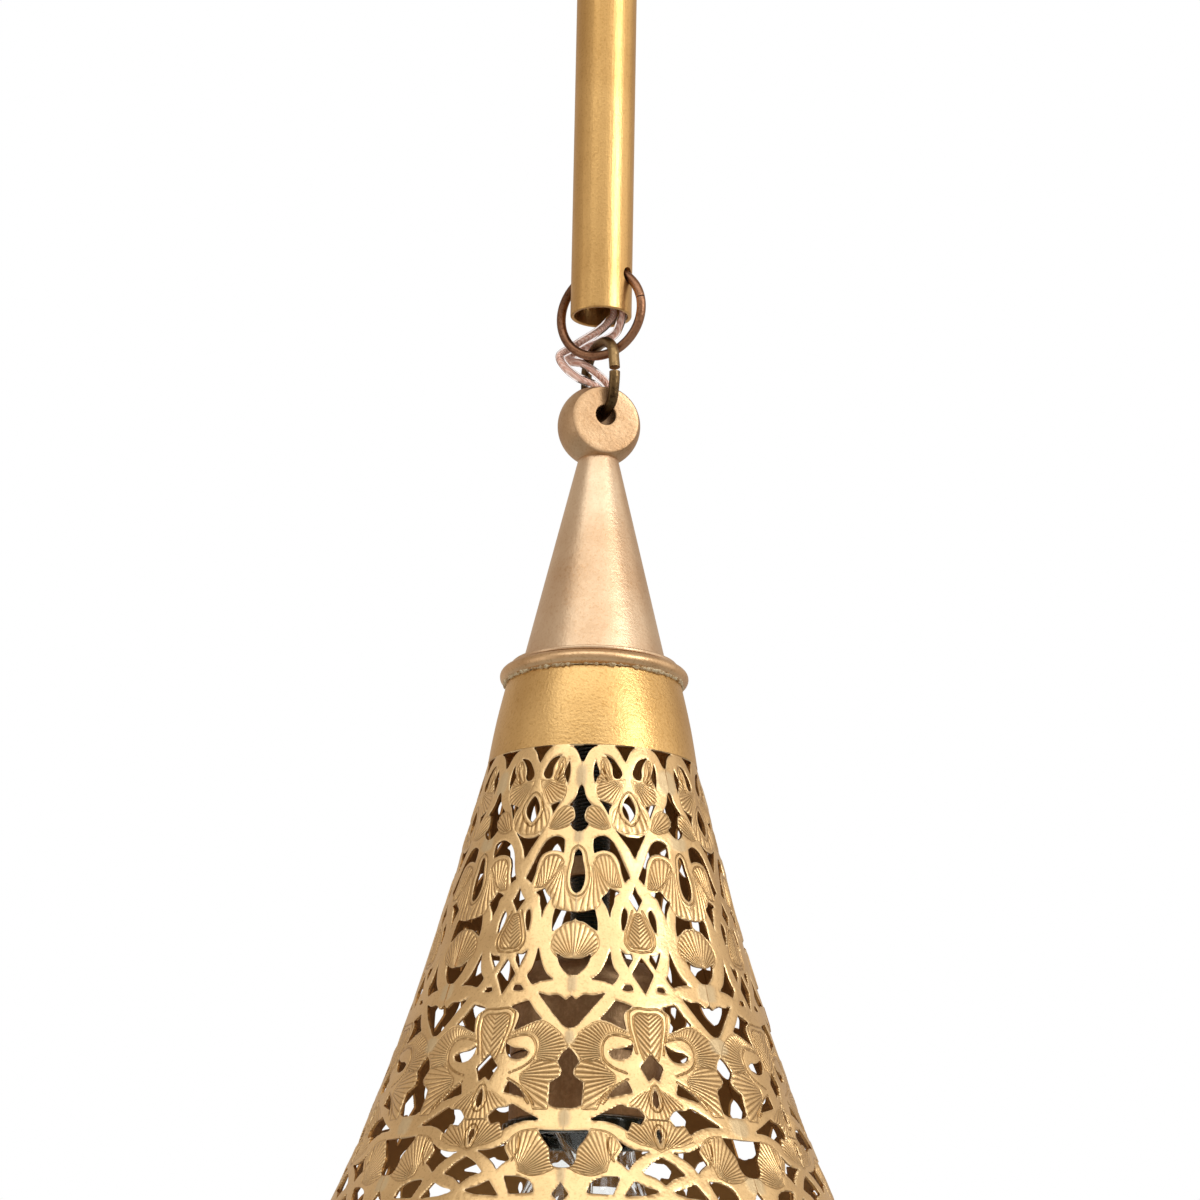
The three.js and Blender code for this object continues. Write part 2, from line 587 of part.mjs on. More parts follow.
// Openings that are cut by the seam, from the seam outwards and back to it.
const seamOpenings = [
  [[0, 0.9], [7.5, 0.9], [0, 4.6]],
  [[0, 11], [5.5, 16.2], [2.8, 18], [4.6, 21], [0, 23]],
  [[0, 28], [2.5, 35], [0, 39]],
  [[0, 44], [7.5, 42.6], [7.6, 48.4], [0, 46.4]],
  [[0, 55.5], [5.3, 54.6], [0, 60]],
  [[0, 65.6], [10.5, 64.3], [0, 73]],
  [[0, 78], [2.4, 83], [4.8, 91.6], [0, 93]],
  [[0, 98], [6, 98.5], [2.4, 106.6], [0, 107]],
  [[0, 111], [3.4, 113.4], [0, 115.4]],
];
// Openings in the left half, each with its mirror image.
const sideOpenings = [
  [[11.5, 3], [19, 6.4], [16.8, 9]],
  [[6, 28.2], [7.6, 24.2], [13.4, 24.6], [20.2, 35.6], [13, 28.8]],
  [[9.5, 40.3], [15.6, 38], [12.4, 45.5]],
  [[12, 53], [14.6, 61.4], [6.5, 61]],
  [[8, 71], [13.5, 66.2], [18.6, 67.4], [16, 73.5]],
  [[10.8, 78.6], [17.6, 76.6], [14.6, 81.2]],
  [[12, 100], [19.6, 103], [15, 107.2]],
  [[6, 113.4], [7, 109.4], [12.6, 109.4]],
];
// Openings on the middle line: their left half, which is closed by its mirror image.
const middleOpenings = [
  [[22.5, 4.4], [16, 0.9]],
  [[22.5, 20.3], [20.4, 17], [22.5, 13.5]],
  [[22.5, 29], [16.5, 22.6]],
  [[22.5, 43.5], [19.5, 40.4], [22.5, 36.8]],
  [[22.5, 64.2], [18.4, 59.6], [22.5, 55.3]],
  [[22.5, 84.4], [20.6, 86], [19.2, 82.6], [22.5, 79.5]],
  [[22.5, 111], [17, 107.8], [22.5, 104]],
];

// The same motifs come back lower down, where the shade is wider.
const again = (outline) => outline.map(([across, down]) =>
  [across, REPEAT_TO + (down - REPEAT_FROM) * REPEAT_SCALE]);
const isRepeated = (outline) => outline.every(([, down]) => down >= REPEAT_FROM && down <= REPEAT_UNTIL);
const withRepeats = (outlines) => [...outlines, ...outlines.filter(isRepeated).map(again)];
const mirror = (outline) => outline.map(([across, down]) => [DESIGN_WIDTH - across, down]).reverse();

const shadeRadius = (drop) =>
  SHADE_NECK_RADIUS + SHADE_SLOPE * drop + SHADE_FLARE * (drop / SHADE_HEIGHT) ** 3;

function goreOutline() {
  const left = withRepeats(seamOpenings).flat();
  const across = (count, down) =>
    Array.from({ length: count - 1 }, (_, i) => [(DESIGN_WIDTH * (i + 1)) / count, down]);
  const right = left.map(([x, down]) => [DESIGN_WIDTH - x, down]).reverse();
  return [
    [0, 0],
    ...left,
    [0, DESIGN_HEIGHT],
    ...across(FOOT_STEPS, DESIGN_HEIGHT),
    [DESIGN_WIDTH, DESIGN_HEIGHT],
    ...right,
    [DESIGN_WIDTH, 0],
    ...across(NECK_STEPS, 0).reverse(),
  ];
}

function goreHoles() {
  const sides = withRepeats(sideOpenings);
  const middles = withRepeats(middleOpenings).map((half) => {
    const onLine = ([across]) => across === middle;
    return [...half, ...mirror(half).filter((point) => !onLine(point))];
  });
  return [...sides, ...sides.map(mirror), ...middles];
}

// The cut sheet lies flat as a fan: its seams are straight and its top and foot are arcs.
const FAN_RADIUS = 100;
const FAN_SPREAD = 0.6;
function unrolled(point) {
  const angle = (point.x / DESIGN_WIDTH - 0.5) * FAN_SPREAD;
  const reach = FAN_RADIUS + point.y;
  return new THREE.Vector2(reach * Math.sin(angle), reach * Math.cos(angle));
}

// Bends the flat pattern to the flared cone and gives it the thickness of the sheet.
function gore() {
  const toPoints = (outline) => outline.map(([x, y]) => new THREE.Vector2(x, y));
  const contour = toPoints(goreOutline());
  const holes = goreHoles().map(toPoints);
  const fanHoles = holes.map((hole) => hole.map(unrolled));
  const faces = THREE.ShapeUtils.triangulateShape(contour.map(unrolled), fanHoles);
  const flat = [contour, ...holes].flat();
  const corners = [];
  for (const inset of [0, SHEET]) {
    for (const point of flat) {
      const drop = (point.y / DESIGN_HEIGHT) * SHADE_HEIGHT;
      const radius = shadeRadius(drop) - inset;
      const span = (Math.PI * 2) / GORE_COUNT - SEAM_GAP / radius;
      const angle = (point.x / DESIGN_WIDTH - 0.5) * span;
      corners.push(radius * Math.sin(angle), -radius * Math.cos(angle), -drop);
    }
  }
  const count = flat.length;
  const edges = faces.flatMap(([a, b, c]) => [[a, b], [b, c], [c, a]]);
  const known = new Set(edges.map(([a, b]) => a * count + b));
  const rims = edges.filter(([a, b]) => !known.has(b * count + a));
  const index = faces.flatMap(([a, b, c]) => [a, b, c, count + c, count + b, count + a]);
  for (const [a, b] of rims) index.push(b, a, count + a, b, count + a, count + b);
  const geometry = new THREE.BufferGeometry();
  geometry.setAttribute('position', new THREE.Float32BufferAttribute(corners, 3));
  geometry.setIndex(index);
  return geometry;
}

// Gore 1 is centred to the right of the front, so that a seam comes just left of it.
const GORE_TURN = 17.5;
for (let number = 1; number <= GORE_COUNT; number++) {
  const turn = GORE_TURN + ((number - 1) * 360) / GORE_COUNT;
  place(group(lamp, shadeTop, turn), `shade_gore_${number}`, gore(), satinBrass());
}

const rimRadius = shadeRadius(SHADE_HEIGHT) - SHEET / 2;
const rim = new THREE.TorusGeometry(rimRadius, RIM_WIRE / 2, WIRE_SIDES, ROUND_FINE);
place(lamp, 'shade_rim', rim, satinBrass(), [0, 0, shadeFoot - RIM_WIRE / 2 - SEAT_GAP]);

// Threaded rod, drawn plain, with a check nut and the lampholder on its lower end
const hollowRod = pipe(ROD_RADIUS, ROD_BORE_RADIUS, rodBottom, rodTop, ROUND_SMALL);
place(lamp, 'threaded_rod', hollowRod, blackMetal());
const checkNutLow = capTop + CHECK_NUT_RISE;
const checkNut = pipe(CHECK_NUT_RADIUS, ROD_RADIUS + SEAT_GAP, 0, CHECK_NUT_HEIGHT, ROUND_SMALL);
place(lamp, 'check_nut', checkNut, darkCopper(), [0, 0, checkNutLow]);

function holderCap() {
  const outer = [
    [HOLDER_RADIUS, -HOLDER_CAP_HEIGHT],
    ...quarter([HOLDER_RADIUS, HOLDER_CAP_SIDE - HOLDER_CAP_HEIGHT], [HOLDER_CAP_FLAT_RADIUS, 0], 3),
    [ROD_RADIUS + SEAT_GAP, 0],
  ];
  return turned(shellProfile(outer.reverse(), HOLDER_WALL));
}
place(lamp, 'holder_cap', holderCap(), darkCopper(), [0, 0, capTop]);

const holderInner = HOLDER_RADIUS - HOLDER_WALL;
const shell = pipe(HOLDER_RADIUS, holderInner, shellTop - HOLDER_SHELL_HEIGHT, shellTop);
place(lamp, 'holder_shell', shell, darkCopper());
const skirt = pipe(HOLDER_RADIUS, holderInner, skirtTop - HOLDER_SKIRT_HEIGHT, skirtTop);
place(lamp, 'holder_skirt', skirt, darkCopper());
const holderRim = pipe(HOLDER_RIM_RADIUS, holderInner, holderRimTop - HOLDER_RIM_HEIGHT, holderRimTop);
place(lamp, 'holder_rim', holderRim, blackMetal());

const insulatorRadius = holderInner - SEAT_GAP;
const insulatorFoot = holderRimTop + SEAT_GAP;
function insulator() {
  const cavity = insulatorRadius - INSULATOR_WALL;
  return turned([
    [ROD_BORE_RADIUS, insulatorTop],
    [insulatorRadius, insulatorTop],
    [insulatorRadius, insulatorFoot],
    [cavity, insulatorFoot],
    [cavity, insulatorTop - INSULATOR_FLOOR],
    [ROD_BORE_RADIUS, insulatorTop - INSULATOR_FLOOR],
  ]);
}
place(lamp, 'holder_insulator', insulator(), whitePlastic());

const screwShellInner = SCREW_SHELL_RADIUS - SCREW_SHELL_WALL;
const screwShell = pipe(SCREW_SHELL_RADIUS, screwShellInner, insulatorFoot, bulbTop - SEAT_GAP);
place(lamp, 'holder_screw_shell', screwShell, satinBrass());
const contact = new THREE.BoxGeometry(SCREW_SHELL_RADIUS, CONTACT_WIDTH, CONTACT_THICKNESS);
place(lamp, 'holder_contact', contact, satinBrass(), [0, 0, contactTop - CONTACT_THICKNESS / 2]);

// Bulb: a hollow screw base with its contact tip, a blown glass and the filament cage inside it
const glassTop = -BULB_BASE_LENGTH + GLASS_SEAT_DEPTH;
function bulbBase() {
  const inner = BULB_BASE_RADIUS - BULB_BASE_WALL;
  const shoulder = -BULB_TIP_HEIGHT - BULB_SHOULDER_HEIGHT;
  const wallTop = shoulder - BULB_CHAMFER;
  return turned([
    [0, 0],
    [BULB_TIP_RADIUS, 0],
    [BULB_TIP_RADIUS, -BULB_TIP_HEIGHT],
    [BULB_BASE_RADIUS - BULB_CHAMFER, shoulder],
    [BULB_BASE_RADIUS, wallTop],
    [BULB_BASE_RADIUS, -BULB_BASE_LENGTH],
    [inner, -BULB_BASE_LENGTH],
    [inner, wallTop],
    [0, wallTop],
  ], ROUND_SMALL);
}
const bulb = group(lamp, bulbTop);
place(bulb, 'bulb_base', bulbBase(), steel());

// Glass outline: a straight neck, an S-shaped shoulder and a round bowl.
function glassOutline() {
  const bowlCentre = -BULB_LENGTH + BULB_RADIUS;
  const neckEnd = -BULB_BASE_LENGTH - BULB_NECK_LENGTH;
  const shoulder = [1, 2, 3].map((i) => {
    const t = i / 4;
    const swell = t * t * (3 - 2 * t);
    const radius = BULB_NECK_RADIUS + (BULB_RADIUS - BULB_NECK_RADIUS) * swell;
    return [radius, neckEnd + (bowlCentre - neckEnd) * t];
  });
  return [
    [BULB_NECK_RADIUS, glassTop],
    [BULB_NECK_RADIUS, neckEnd],
    ...shoulder,
    ...quarter([BULB_RADIUS, bowlCentre], [0, -BULB_LENGTH], 4),
  ];
}
function bulbGlass() {
  const outer = glassOutline();
  const inner = shellProfile(outer, GLASS_WALL).slice(outer.length);
  inner[0] = [0, -BULB_LENGTH + GLASS_WALL];
  inner[inner.length - 1] = [BULB_NECK_RADIUS - GLASS_WALL, glassTop];
  return turned([...outer, ...inner], GLASS_SIDES);
}
place(bulb, 'bulb_glass', bulbGlass(), clearGlass());

function filamentCage() {
  const hubHigh = -BULB_BASE_LENGTH - FILAMENT_DROP;
  const hubLow = hubHigh - FILAMENT_LENGTH;
  const stem = rod(STEM_RADIUS, hubLow - HUB_THICKNESS, glassTop + HUB_THICKNESS, 8);
  const footRadius = BULB_NECK_RADIUS - GLASS_WALL - SEAT_GAP;
  const footEnd = hubHigh + STEM_FLARE_GAP;
  const foot = turned([[0, glassTop], [footRadius, glassTop], [STEM_RADIUS, footEnd], [0, footEnd]], 8);
  const hub = (height) => rod(FILAMENT_RADIUS, height - HUB_THICKNESS / 2, height + HUB_THICKNESS / 2, 8);
  const strips = Array.from({ length: FILAMENT_COUNT }, (_, i) =>
    rod(FILAMENT_THICKNESS / 2, hubLow, hubHigh, 6)
      .translate(FILAMENT_RADIUS - FILAMENT_THICKNESS, 0, 0)
      .rotateZ(((i + 0.5) * Math.PI * 2) / FILAMENT_COUNT));
  return join(stem, foot, hub(hubHigh), hub(hubLow), ...strips);
}
place(bulb, 'bulb_filament_cage', filamentCage(), finish(0xe6c27a, 0.4, 0));

// Flex. Each route is one smooth curve through hand-chosen points, cut into stretches that meet face to
// face; the upper route is measured from the centre of the tube's top end, the others from its bottom end.
class Stretch extends THREE.Curve {
  constructor(route, from, to) {
    super();
    this.route = route;
    this.from = from / route.getLength();
    this.to = to / route.getLength();
  }

  getPoint(t) {
    return this.route.getPointAt(Math.min(this.from + (this.to - this.from) * t, 1));
  }
}

const routeThrough = (points) => {
  const route = new THREE.CatmullRomCurve3(points.map((p) => new THREE.Vector3(...p)));
  route.arcLengthDivisions = 400;
  return route;
};

function stretches(points, cuts) {
  const route = routeThrough(points);
  const ends = [0, ...cuts, route.getLength()];
  return ends.slice(1).map((end, i) =>
    new Stretch(route, ends[i] + (i > 0 ? SEAT_GAP : 0), end));
}

// The turn that lays the wide side of a flat section along a given direction at the curve's start.
function turnTo(curve, steps, wide) {
  const frames = curve.computeFrenetFrames(steps, false);
  return Math.atan2(frames.binormals[0].dot(wide), frames.normals[0].dot(wide));
}
const twin = (curve, steps, wide) =>
  barAlong(curve, steps, TWIN_WIDTH, 2 * CORE_RADIUS, turnTo(curve, steps, wide));

// The direction of the flat flex's wide side at the end of a stretch that starts with a given one.
function wideAtEnd(curve, steps, wide) {
  const frames = curve.computeFrenetFrames(steps, false);
  const turn = turnTo(curve, steps, wide);
  return frames.normals[steps].clone().multiplyScalar(Math.cos(turn))
    .addScaledVector(frames.binormals[steps], Math.sin(turn));
}

const alongX = new THREE.Vector3(1, 0, 0);
const inTube = [3.45, 2.85];
const fromTubeTop = group(lamp, tubeTop);
const upperRoute = [[0, 16, 41], [0, 16, 28], [0, 16, 20], [2, 15.8, 12.5], [5.6, 13.5, 7], [6.8, 9.6, 5],
  [5.2, 5.4, 3.6], [3.7, 3.1, -0.5], [...inTube, -8], [...inTube, -20]];
const UPPER_CUT = 34;
const UPPER_STEPS = 8;
const [upperOne, upperTwo] = stretches(upperRoute, [UPPER_CUT]);
const wideAtCut = wideAtEnd(upperOne, UPPER_STEPS, alongX);
place(fromTubeTop, 'flex_upper_1', twin(upperOne, UPPER_STEPS, alongX), clearFlex());
place(fromTubeTop, 'flex_upper_2', twin(upperTwo, UPPER_STEPS, wideAtCut), clearFlex());

const LOWER_START = 16;
const upperEnd = upperRoute[upperRoute.length - 1][2];
const tubeFlex = routeThrough([
  [...inTube, upperEnd - SEAT_GAP],
  [...inTube, LOWER_START + SEAT_GAP - TUBE_LENGTH],
]);
const wideInTube = wideAtEnd(upperTwo, UPPER_STEPS, wideAtCut);
place(fromTubeTop, 'flex_in_tube', twin(tubeFlex, 2, wideInTube), clearFlex());

const fromTubeBottom = group(lamp, tubeBottom);
const lowerRoutes = {
  a: [[2.2, 3.4, LOWER_START], [2.2, 3.4, 8], [3.3, 2.9, 2.2], [1.4, 3, -0.8], [-0.6, 3.3, -2.6],
    [-5, 5.6, -4.8], [-7.8, 7, -6.3], [-10.5, 6.6, -8.4], [-9.5, 5.6, -11.4], [-5.9, 4.6, -15],
    [-1.2, 4.7, -17.3], [0.9, 7.8, -19], [1, 8.9, -24], [0.6, 9.2, -34], [-0.4, 11.1, -38.5],
    [-1.35, 15.3, -45], [-1.35, 15.8, -47.8], [-1.35, 14.2, -50.1], [-1.35, 9.08, -53.7],
    [-1.35, 5, -56.6], [-1.35, 2.2, -60.2], [-1.35, 1.2, -66]],
  b: [[4.7, 2.3, LOWER_START], [4.7, 2.3, 8], [5.6, 0.8, 1.8], [5, 2.3, -0.9], [3.4, 4.3, -3.3],
    [-2.7, 7.5, -5.2], [-6.4, 9.4, -6.4], [-8.3, 9.3, -8.2], [-7.2, 7.2, -9.8], [-4.6, 5.1, -11],
    [-1.4, 3.9, -13.8], [1.4, 5.7, -15.8], [3.6, 8, -18.7], [3.9, 9.1, -24], [3.4, 9.3, -34],
    [2.2, 11.1, -38.5], [1.35, 15.3, -45], [1.35, 15.8, -47.8], [1.35, 14.2, -50.1], [1.35, 9.08, -53.7],
    [1.35, 5, -56.6], [1.35, 2.2, -60.2], [1.35, 1.2, -66]],
};
const LOWER_CUTS = [34, 67];
const LOWER_STEPS = 8;
for (const [core, points] of Object.entries(lowerRoutes)) {
  stretches(points, LOWER_CUTS).forEach((curve, i) => {
    const name = `flex_lower_${core}${i + 1}`;
    place(fromTubeBottom, name, barAlong(curve, LOWER_STEPS, 2 * CORE_RADIUS), clearFlex());
  });
}
const holderEnd = insulatorTop - tubeBottom + SEAT_GAP;
const rodPoints = [[0, 1.2, -66.3], [0, 0.7, -71], [0, 0, -79], [0, 0, -100], [0, 0, holderEnd]];
place(fromTubeBottom, 'flex_in_rod', twin(routeThrough(rodPoints), LOWER_STEPS, alongX), clearFlex());

export default lamp;
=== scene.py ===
# A pierced brass pendant lamp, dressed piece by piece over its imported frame. Shapes are worked out in
# millimetres as whole arrays, with Z = 0 at the ceiling, and go into their meshes in metres.
from math import cos, pi, radians, sin

import bpy
import numpy as np
from mathutils import Matrix, Vector


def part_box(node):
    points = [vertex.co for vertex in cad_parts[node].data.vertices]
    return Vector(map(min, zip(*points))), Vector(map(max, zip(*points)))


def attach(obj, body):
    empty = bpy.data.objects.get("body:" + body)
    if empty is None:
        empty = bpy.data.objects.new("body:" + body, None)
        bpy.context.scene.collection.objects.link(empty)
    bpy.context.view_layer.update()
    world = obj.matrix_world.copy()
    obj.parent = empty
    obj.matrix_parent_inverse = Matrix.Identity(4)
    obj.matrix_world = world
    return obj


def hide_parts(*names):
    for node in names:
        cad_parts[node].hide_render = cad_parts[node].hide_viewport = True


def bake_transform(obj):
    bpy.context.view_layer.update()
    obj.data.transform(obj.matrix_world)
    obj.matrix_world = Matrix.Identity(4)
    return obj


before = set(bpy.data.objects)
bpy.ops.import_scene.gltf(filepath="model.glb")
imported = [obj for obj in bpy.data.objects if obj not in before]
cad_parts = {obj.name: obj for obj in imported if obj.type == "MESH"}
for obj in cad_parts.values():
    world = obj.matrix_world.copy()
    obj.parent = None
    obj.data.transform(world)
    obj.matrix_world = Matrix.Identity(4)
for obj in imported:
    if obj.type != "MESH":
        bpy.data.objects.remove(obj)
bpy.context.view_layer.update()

# Camera. It stands 0.86 m in front of the lamp and below its shade and looks up, so the tube narrows
# towards the top of the view. The small roll gives the lamp the lean that it has in the photograph.
CAMERA_PLACE = (0.0011, -0.8612, -0.62861)
CAMERA_PITCH = 16.07
CAMERA_ROLL = 1.05
camera_data = bpy.data.cameras.new("camera")
camera_data.lens = 105.4
camera_data.sensor_width = 36
camera = bpy.data.objects.new("camera", camera_data)
camera.matrix_world = (Matrix.Translation(CAMERA_PLACE) @ Matrix.Rotation(radians(90 + CAMERA_PITCH), 4, "X")
                       @ Matrix.Rotation(radians(CAMERA_ROLL), 4, "Z"))
bpy.context.collection.objects.link(camera)
bpy.context.scene.camera = camera


# Flex. Two stranded copper cores in clear PVC, side by side as a flat twin in canopy, tube and rod and
# parted between the tube and the spire. It hangs slack past the ring and link and is cut where it bends.
class Signal:
    """A node's output socket: +, - and * on it add Math nodes, with numbers or signals on either side."""

    def __init__(self, nodes, socket):
        self.nodes = nodes
        self.socket = socket

    def maths(self, operation, *values):
        return self.nodes.add("ShaderNodeMath", {"operation": operation}, dict(enumerate(values)))

    def __add__(self, other):
        return self.maths("ADD", self, other)

    def __radd__(self, other):
        return self.maths("ADD", other, self)

    def __sub__(self, other):
        return self.maths("SUBTRACT", self, other)

    def __rsub__(self, other):
        return self.maths("SUBTRACT", other, self)

    def __mul__(self, other):
        return self.maths("MULTIPLY", self, other)

    def __rmul__(self, other):
        return self.maths("MULTIPLY", other, self)

    def size(self):
        """The value without its sign."""
        return self.maths("ABSOLUTE", self)

    def sine(self):
        return self.maths("SINE", self)

    def larger(self, other):
        return self.maths("MAXIMUM", self, other)

    def rise(self, low, high):
        """0 up to low, 1 from high on, and a smooth step between; high may lie under low."""
        settings = {"interpolation_type": "SMOOTHSTEP"}
        if low > high:
            return 1 - self.rise(high, low)
        return self.nodes.add("ShaderNodeMapRange", settings, {0: self, 1: low, 2: high})


def tint(code):
    """A colour as a hex code, turned to the linear values that shaders take."""
    channels = [int(code[i:i + 2], 16) / 255 for i in (0, 2, 4)]
    return (*(c / 12.92 if c <= 0.04045 else ((c + 0.055) / 1.055) ** 2.4 for c in channels), 1)


class Nodes:
    """The nodes of one material or world, which add() grows."""

    def __init__(self, owner):
        owner.use_nodes = True
        self.tree = owner.node_tree

    def add(self, kind, settings=None, sockets=None, out=0):
        """Adds a node: first its settings, then the values or signals of its sockets. Gives one output."""
        node = self.tree.nodes.new(kind)
        for key, value in (settings or {}).items():
            setattr(node, key, value)
        for key, value in (sockets or {}).items():
            self.feed(node.inputs[key], value)
        return Signal(self, node.outputs[out])

    def feed(self, socket, value):
        """Links a signal to a socket, or sets it to a number, a vector or a colour's hex code."""
        if isinstance(value, Signal):
            self.tree.links.new(value.socket, socket)
        else:
            socket.default_value = tint(value) if isinstance(value, str) else value

    def place(self, scale=(1, 1, 1), turn=(0, 0, 0)):
        """The place on the piece, from the lamp's own origin, stretched and turned."""
        here = self.add("ShaderNodeTexCoord", out="Object")
        return self.add("ShaderNodeMapping", None, {"Vector": here, "Scale": scale, "Rotation": turn})

    def noise(self, where, scale, detail=3.0, rough=0.55, out=0):
        sockets = {"Vector": where, "Scale": scale, "Detail": detail, "Roughness": rough}
        return self.add("ShaderNodeTexNoise", None, sockets, out)

    def blend(self, first, second, share):
        """A colour between two, by a share from 0 to 1."""
        return self.add("ShaderNodeMix", {"data_type": "RGBA"}, {0: share, 6: first, 7: second}, 2)

    def bump(self, height, depth, before=None):
        """A normal from a height, at a depth in metres; before is a normal that it adds to."""
        sockets = {"Height": height, "Distance": depth}
        if before is not None:
            sockets["Normal"] = before
        return self.add("ShaderNodeBump", None, sockets)


class Finish(Nodes):
    """A material's nodes round its one Principled shader, whose sockets are set by their names."""

    def __init__(self, name, **constants):
        self.material = bpy.data.materials.new(name)
        super().__init__(self.material)
        self.shader = self.tree.nodes["Principled BSDF"]
        self.set(**constants)

    def set(self, **values):
        for name, value in values.items():
            self.feed(self.shader.inputs[name.replace("_", " ").title().replace("Ior", "IOR")], value)
        return self


def cells(rows, columns, ring=False, loop=False):
    """Two triangles for each cell of a grid of corners. A ring joins the last column to the first one, and
    a loop the last row to the first."""
    row = np.arange(rows if loop else rows - 1)[:, None]
    column = np.arange(columns if ring else columns - 1)[None, :]
    below = (row + 1) % rows * columns
    right = (column + 1) % columns
    a, b, c, d = row * columns + column, row * columns + right, below + right, below + column
    return np.concatenate([np.stack(corners, -1).reshape(-1, 3) for corners in ((a, b, c), (a, c, d))])


def outwards(points, triangles):
    """The triangles, each turned round where six times the volume that they enclose comes out negative."""
    a, b, c = points[triangles].transpose(1, 0, 2)
    return triangles[:, ::-1] if np.einsum("ij,ij->", a, np.cross(b, c)) < 0 else triangles


def closed(points, triangles):
    """A shape whose corners are shared, without triangles that have no area, and with its faces outwards."""
    points = np.asarray(points, float).reshape(-1, 3)
    keys = np.round(points * 1e4).astype(np.int64)
    _, first, shared = np.unique(keys, axis=0, return_index=True, return_inverse=True)
    points, triangles = points[first], shared.reshape(-1)[triangles]
    a, b, c = triangles.T
    return points, outwards(points, triangles[(a != b) & (b != c) & (c != a)])


def piece(name, shapes, finishes, nodes=(), body=None, crease=40):
    """Makes one object of closed shapes. Each shape is a pair of corners in millimetres and triangles, or
    has a third entry, the number of its finish, one for the shape or one for each triangle."""
    corners, faces, numbers, count = [], [], [], 0
    for points, triangles, *number in shapes:
        corners.append(points)
        faces.append(triangles + count)
        numbers.append(np.zeros(len(triangles), np.int32) + (number[0] if number else 0))
        count += len(points)
    corners, faces = np.concatenate(corners), np.concatenate(faces)
    mesh = bpy.data.meshes.new(name)
    mesh.vertices.add(len(corners))
    mesh.vertices.foreach_set("co", (corners / 1000).astype(np.float32).ravel())
    mesh.loops.add(faces.size)
    mesh.loops.foreach_set("vertex_index", faces.astype(np.int32).ravel())
    mesh.polygons.add(len(faces))
    mesh.polygons.foreach_set("loop_start", np.arange(0, faces.size, 3, dtype=np.int32))
    mesh.polygons.foreach_set("material_index", np.concatenate(numbers).astype(np.int32))
    mesh.update(calc_edges=True)
    mesh.validate()
    mesh.shade_smooth()
    mesh.set_sharp_from_angle(angle=radians(crease))
    for finish in finishes:
        mesh.materials.append(finish.material)
    made = bpy.data.objects.new(name, mesh)
    bpy.context.collection.objects.link(made)
    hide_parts(*nodes)
    if body:
        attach(made, body)
    return made


def heights(node):
    """The heights of a frame node's foot and top, in millimetres."""
    return [corner[2] * 1000 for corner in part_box(node)]


def cubic(here, there, leave, arrive, t):
    """The curve from here to there that leaves and arrives with given slopes, for shares t of the way."""
    return (here * (2 * t ** 3 - 3 * t ** 2 + 1) + leave * (t ** 3 - 2 * t ** 2 + t)
            + there * (3 * t ** 2 - 2 * t ** 3) + arrive * (t ** 3 - t ** 2))


def route_through(points, steps=24):
    """A smooth curve through given points: between two of them a cubic whose end slopes come from
    the neighbours, weighted by the square roots of the gaps. Gives close points and the lengths to them."""
    p = np.array(points, float)
    p = np.concatenate([[2 * p[0] - p[1]], p, [2 * p[-1] - p[-2]]])
    gap = np.linalg.norm(np.diff(p, axis=0), axis=1)[:, None] ** 0.5
    before, here, after = gap[:-2], gap[1:-1], gap[2:]
    p0, p1, p2, p3 = p[:-3], p[1:-2], p[2:-1], p[3:]
    leave = ((p1 - p0) / before - (p2 - p0) / (before + here) + (p2 - p1) / here) * here
    arrive = ((p2 - p1) / here - (p3 - p1) / (here + after) + (p3 - p2) / after) * here
    t = np.linspace(0, 1, steps, endpoint=False)[None, :, None]
    p1, p2, leave, arrive = (v[:, None] for v in (p1, p2, leave, arrive))
    curve = np.concatenate([cubic(p1, p2, leave, arrive, t).reshape(-1, 3), p[-2:-1]])
    return curve, np.concatenate([[0], np.cumsum(np.linalg.norm(np.diff(curve, axis=0), axis=1))])


def directions(path):
    """The path's direction at each of its points, with a length of 1."""
    run = np.gradient(path, axis=0)
    return run / np.linalg.norm(run, axis=1, keepdims=True)


def frames_along(path, wide):
    """Side directions for a section carried along a path without twist: each one is the last one, less its
    part along the new direction."""
    run = directions(path)
    sides = []
    for ahead in run:
        wide = wide - ahead * np.dot(wide, ahead)
        wide = wide / np.linalg.norm(wide)
        sides.append(wide)
    sides = np.array(sides)
    return sides, np.cross(run, sides)


def swept(path, sides, ups, section, grow=None, loop=False):
    """A section carried along a path: each corner is the path's point plus the section's two measures along
    the side and up directions, times grow. An open one is closed by ends that shrink to a point."""
    if not loop:
        path = np.concatenate([path[:1], path[:1], path, path[-1:], path[-1:]])
        sides = np.concatenate([sides[:1], sides[:1], sides, sides[-1:], sides[-1:]])
        ups = np.concatenate([ups[:1], ups[:1], ups, ups[-1:], ups[-1:]])
        middle = np.ones(len(path) - 4) if grow is None else grow
        grow = np.concatenate([[0, 0.9], middle, [0.9, 0]])
    grow = np.ones(len(path)) if grow is None else grow
    across, up = section.T
    points = (path[:, None] + sides[:, None] * across[None, :, None] * grow[:, None, None]
              + ups[:, None] * up[None, :, None] * grow[:, None, None])
    return closed(points, cells(*points.shape[:2], ring=True, loop=loop))


def even_angles(count):
    """Angles at even steps round a full turn."""
    return np.arange(count) * 2 * pi / count


def circle(radius, sides=24, centre=(0, 0)):
    """Points round a circle in the plane of a section."""
    angle = even_angles(sides)
    return np.stack([centre[0] + radius * np.cos(angle), centre[1] + radius * np.sin(angle)], -1)


CORE_RADIUS = 1.2
COPPER_RADIUS = 0.62
TWIN_OFFSET = 1.35
TWIN_WAIST = 0.35


